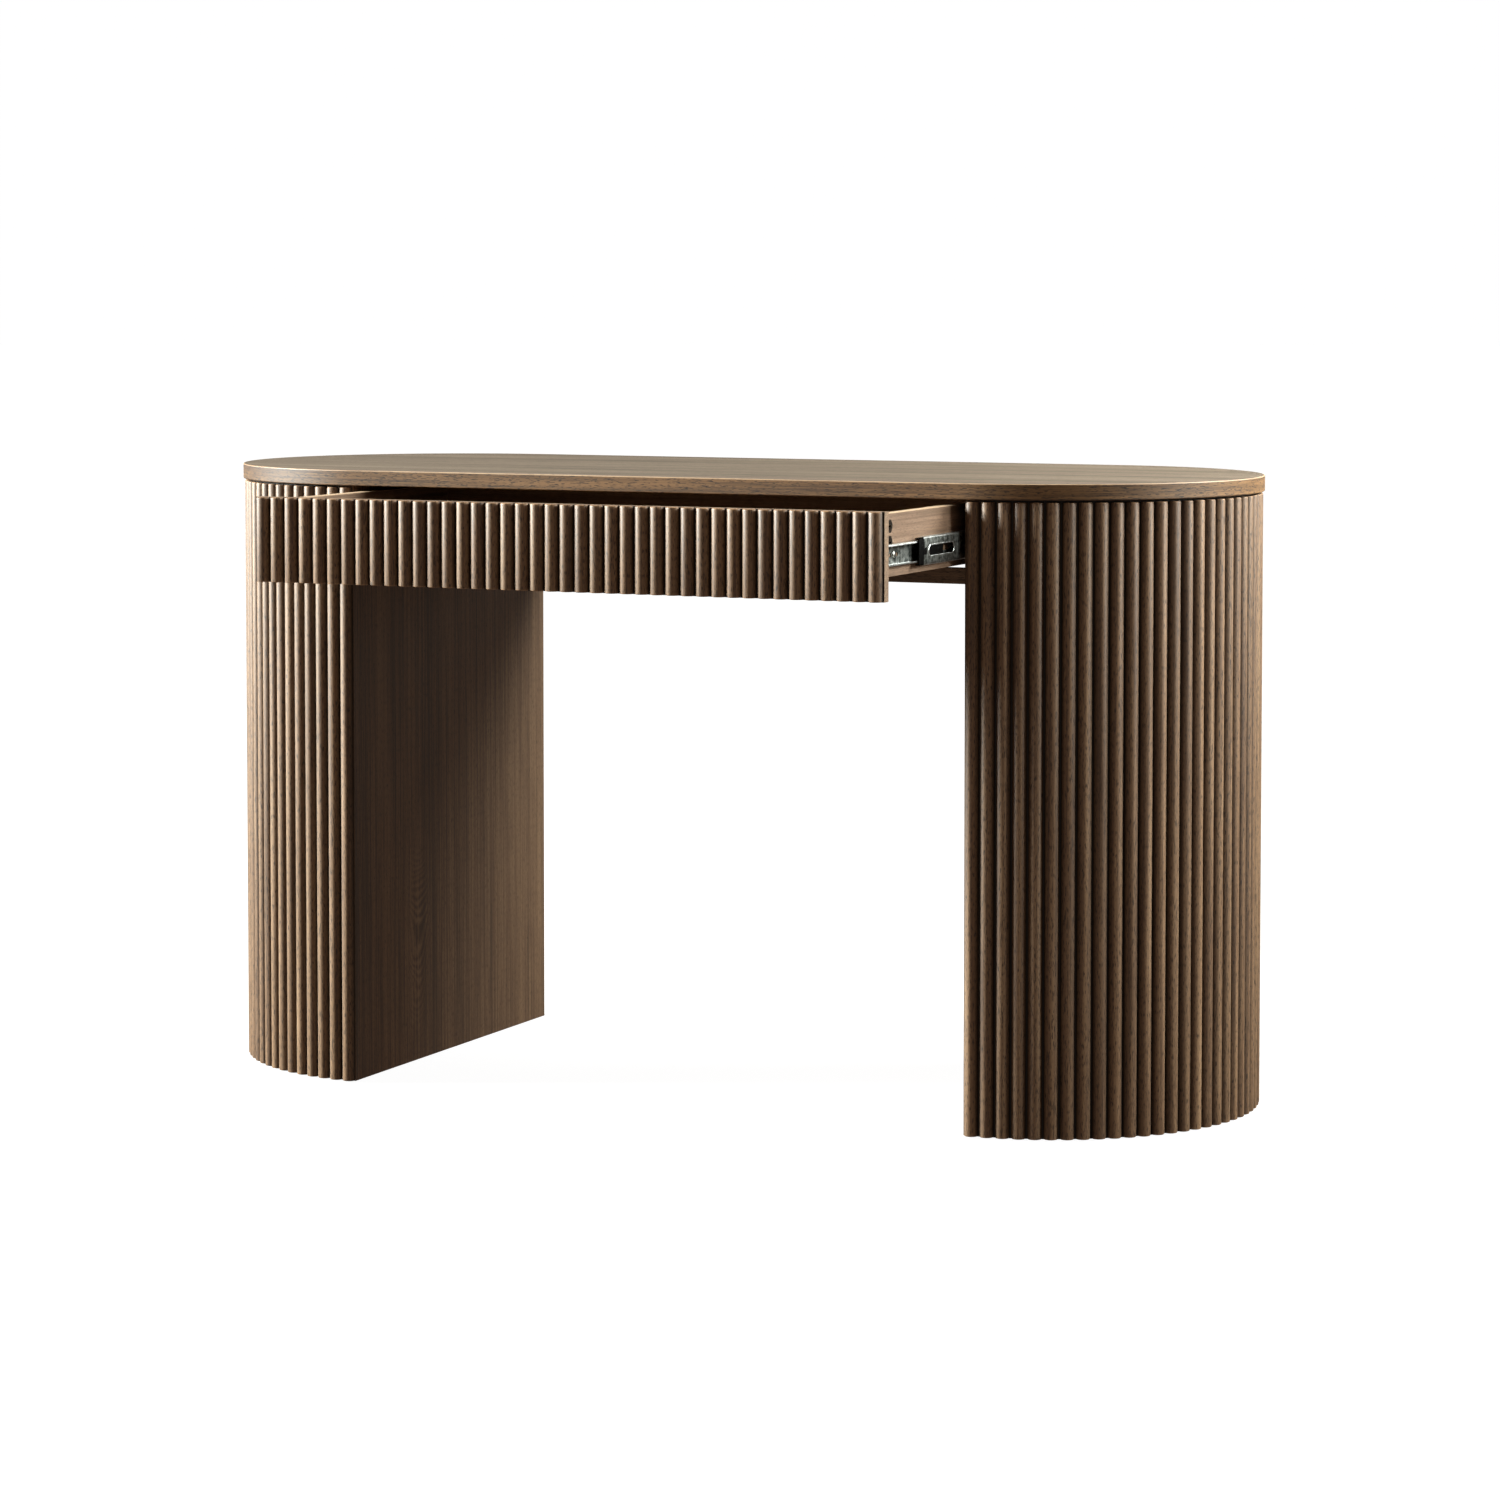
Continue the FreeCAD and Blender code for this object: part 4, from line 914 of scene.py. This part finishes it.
# Millimetres; the tabs are the tongue over the web and the tail behind the long hole
STOP_WALL = 1.6
STOP_EDGE = 0.45
TAB_ROOT = 3
TABS = ({"depths": (-0.45, 0.9), "reach": 8, "half": 4, "edge": STOP_EDGE},
        {"depths": (1.5, 2.3), "reach": 62, "half": 6.5, "edge": 0.3})
RIBS = {"at": (3.5, 7.5, 11.5), "half": 0.7, "in": 0.6, "out": 0.7, "short": 2, "edge": 0.4}
for side, sign in SIDES.items():
    low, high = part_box(f"{side}_slide_bumper")
    face_x = max(abs(low.x), abs(high.x))
    depth = (face_x - min(abs(low.x), abs(high.x))) / MM
    half = (high.z - low.z) / 2 / MM
    length = (high.y - low.y) / MM
    middle_z = (high.z + low.z) / 2

    def block(depths, along, heights, radius=STOP_EDGE):
        """A rounded block; depths from the stop's face, along from its front, heights from its middle."""
        corners = [(sign * (face_x - d * MM), low.y + y * MM, middle_z + z * MM)
                   for d, y, z in zip(depths, along, heights)]
        return rounded_box(*corners, radius * MM)

    blocks = [block((0, STOP_WALL), (0, length), (-half, half)),
              block((0, depth), (0, length), (half - STOP_WALL, half)),
              block((0, depth), (0, length), (-half, STOP_WALL - half))]
    for tab in TABS:
        blocks.append(block(tab["depths"], (length - TAB_ROOT, length + tab["reach"]),
                            (-tab["half"], tab["half"]), tab["edge"]))
    rib = (STOP_WALL - RIBS["in"], STOP_WALL + RIBS["out"])
    for at in RIBS["at"]:
        blocks.append(block(rib, (at - RIBS["half"], at + RIBS["half"]),
                            (RIBS["short"] - half, half - RIBS["short"]), RIBS["edge"]))
    points, faces = joined(blocks)
    make_piece(f"{side}_slide_stop", points, faces, [black_nylon], f"{side}_slide_middle",
               f"{side}_slide_bumper")
print("stop wall:", STOP_WALL, "mm")

# %% [markdown]
# The slide screws have low domed heads with a cross recess, pressed when the head is formed. A solid of
# revolution makes the screw, and two thin blocks cut the cross. One pattern serves all the screws.

# %% Slide screws
# Millimetres: radius and height from the crown of the head to the tip
SCREW_PROFILE = [(0, 1.1), (1.4, 1.07), (2.4, 0.94), (3.1, 0.7), (3.5, 0.4), (3.6, 0.16), (3.6, 0), (1.8, 0),
                 (1.8, -9), (1.4, -10.2), (0, -11)]
CROSS = {"long": 3.8, "wide": 0.8, "deep": 0.75, "over": 1, "edge": 0.1}


def lathe(profile, steps=24):
    """A solid of revolution from radius and height pairs; the first and last lie on its axis."""
    points = [(0, 0, profile[0][1]), (0, 0, profile[-1][1])]
    rings = profile[1:-1]
    for radius, height in rings:
        for step in range(steps):
            a = 2 * math.pi * step / steps
            points.append((radius * math.cos(a), radius * math.sin(a), height))
    faces = []
    for step in range(steps):
        after = (step + 1) % steps
        faces.append((0, 2 + step, 2 + after))
        last = 2 + (len(rings) - 1) * steps
        faces.append((1, last + after, last + step))
        for ring in range(len(rings) - 1):
            row = 2 + ring * steps
            faces.append((row + step, row + steps + step, row + steps + after, row + after))
    return points, faces


pattern = bpy.data.objects.new("screw_pattern", solid_mesh("screw_pattern", *lathe(SCREW_PROFILE)))
scene.collection.objects.link(pattern)
cutters = []
for along, across in ((CROSS["long"], CROSS["wide"]), (CROSS["wide"], CROSS["long"])):
    crown = SCREW_PROFILE[0][1]
    shape = rounded_box((-along / 2, -across / 2, crown - CROSS["deep"]),
                        (along / 2, across / 2, crown + CROSS["over"]), CROSS["edge"])
    cutters.append(bpy.data.objects.new("cutter", solid_mesh("cutter", *shape)))
    scene.collection.objects.link(cutters[-1])
punch(pattern, cutters)
screw_points = [tuple(v.co) for v in pattern.data.vertices]
screw_faces = [tuple(p.vertices) for p in pattern.data.polygons]
bpy.data.objects.remove(pattern)

SCREW_INSET = 34
SCREW_SPACING = 176
SCREW_COUNT = 3
for side, sign in SIDES.items():
    for label, body, facing in (("outer", "carcass", -1), ("inner", "drawer", 1)):
        node = f"{side}_slide_{label}_screws"
        low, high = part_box(node)
        member_low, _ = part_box(f"{side}_slide_{label}")
        head_x = min(abs(low.x), abs(high.x)) if facing < 0 else max(abs(low.x), abs(high.x))
        seat_x = head_x - facing * SCREW_PROFILE[0][1] * MM
        middle_z = (low.z + high.z) / 2
        shapes = []
        for index in range(SCREW_COUNT):
            y = member_low.y + (SCREW_INSET + SCREW_SPACING * index) * MM
            shapes.append(([(sign * (seat_x + facing * pz * MM), y + px * MM, middle_z + py * MM)
                            for px, py, pz in screw_points], screw_faces))
        points, faces = joined(shapes)
        make_piece(f"{node}_pan_head", points, faces, [screw_zinc], body, node)
print("screw pattern:", len(screw_points), "points")

# %% [markdown]
# Small bent angles under the top hold the rear apron. They are strip too, folded once.

# %% Apron brackets
# Millimetres
BRACKET_STEEL = 2.0
BRACKET_BEND = 4.0
BRACKET_WIDTH = 22
low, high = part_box("apron_brackets")
leg = (high.z - low.z) / MM - BRACKET_STEEL / 2
fold = quarter((BRACKET_BEND, BRACKET_BEND), BRACKET_BEND, math.pi)
path = [(leg, 0), *reversed(fold), (0, leg)]


def under_the_top(out, down, x):
    """Out from the apron and down from the top, each to the strip's middle."""
    return (x, high.y - (BRACKET_STEEL / 2 + out) * MM, high.z - (BRACKET_STEEL / 2 + down) * MM)


half_width = BRACKET_WIDTH / 2 * MM
shapes = []
for centre_x in (low.x + half_width, 0, high.x - half_width):
    ends = (centre_x - half_width, centre_x + half_width)
    shapes.append(swept_strip(path, BRACKET_STEEL, ends, under_the_top))
points, faces = joined(shapes)
make_piece("apron_angles", points, faces, [zinc], "carcass", "apron_brackets")
print("bracket leg:", round(leg, 1), "mm")
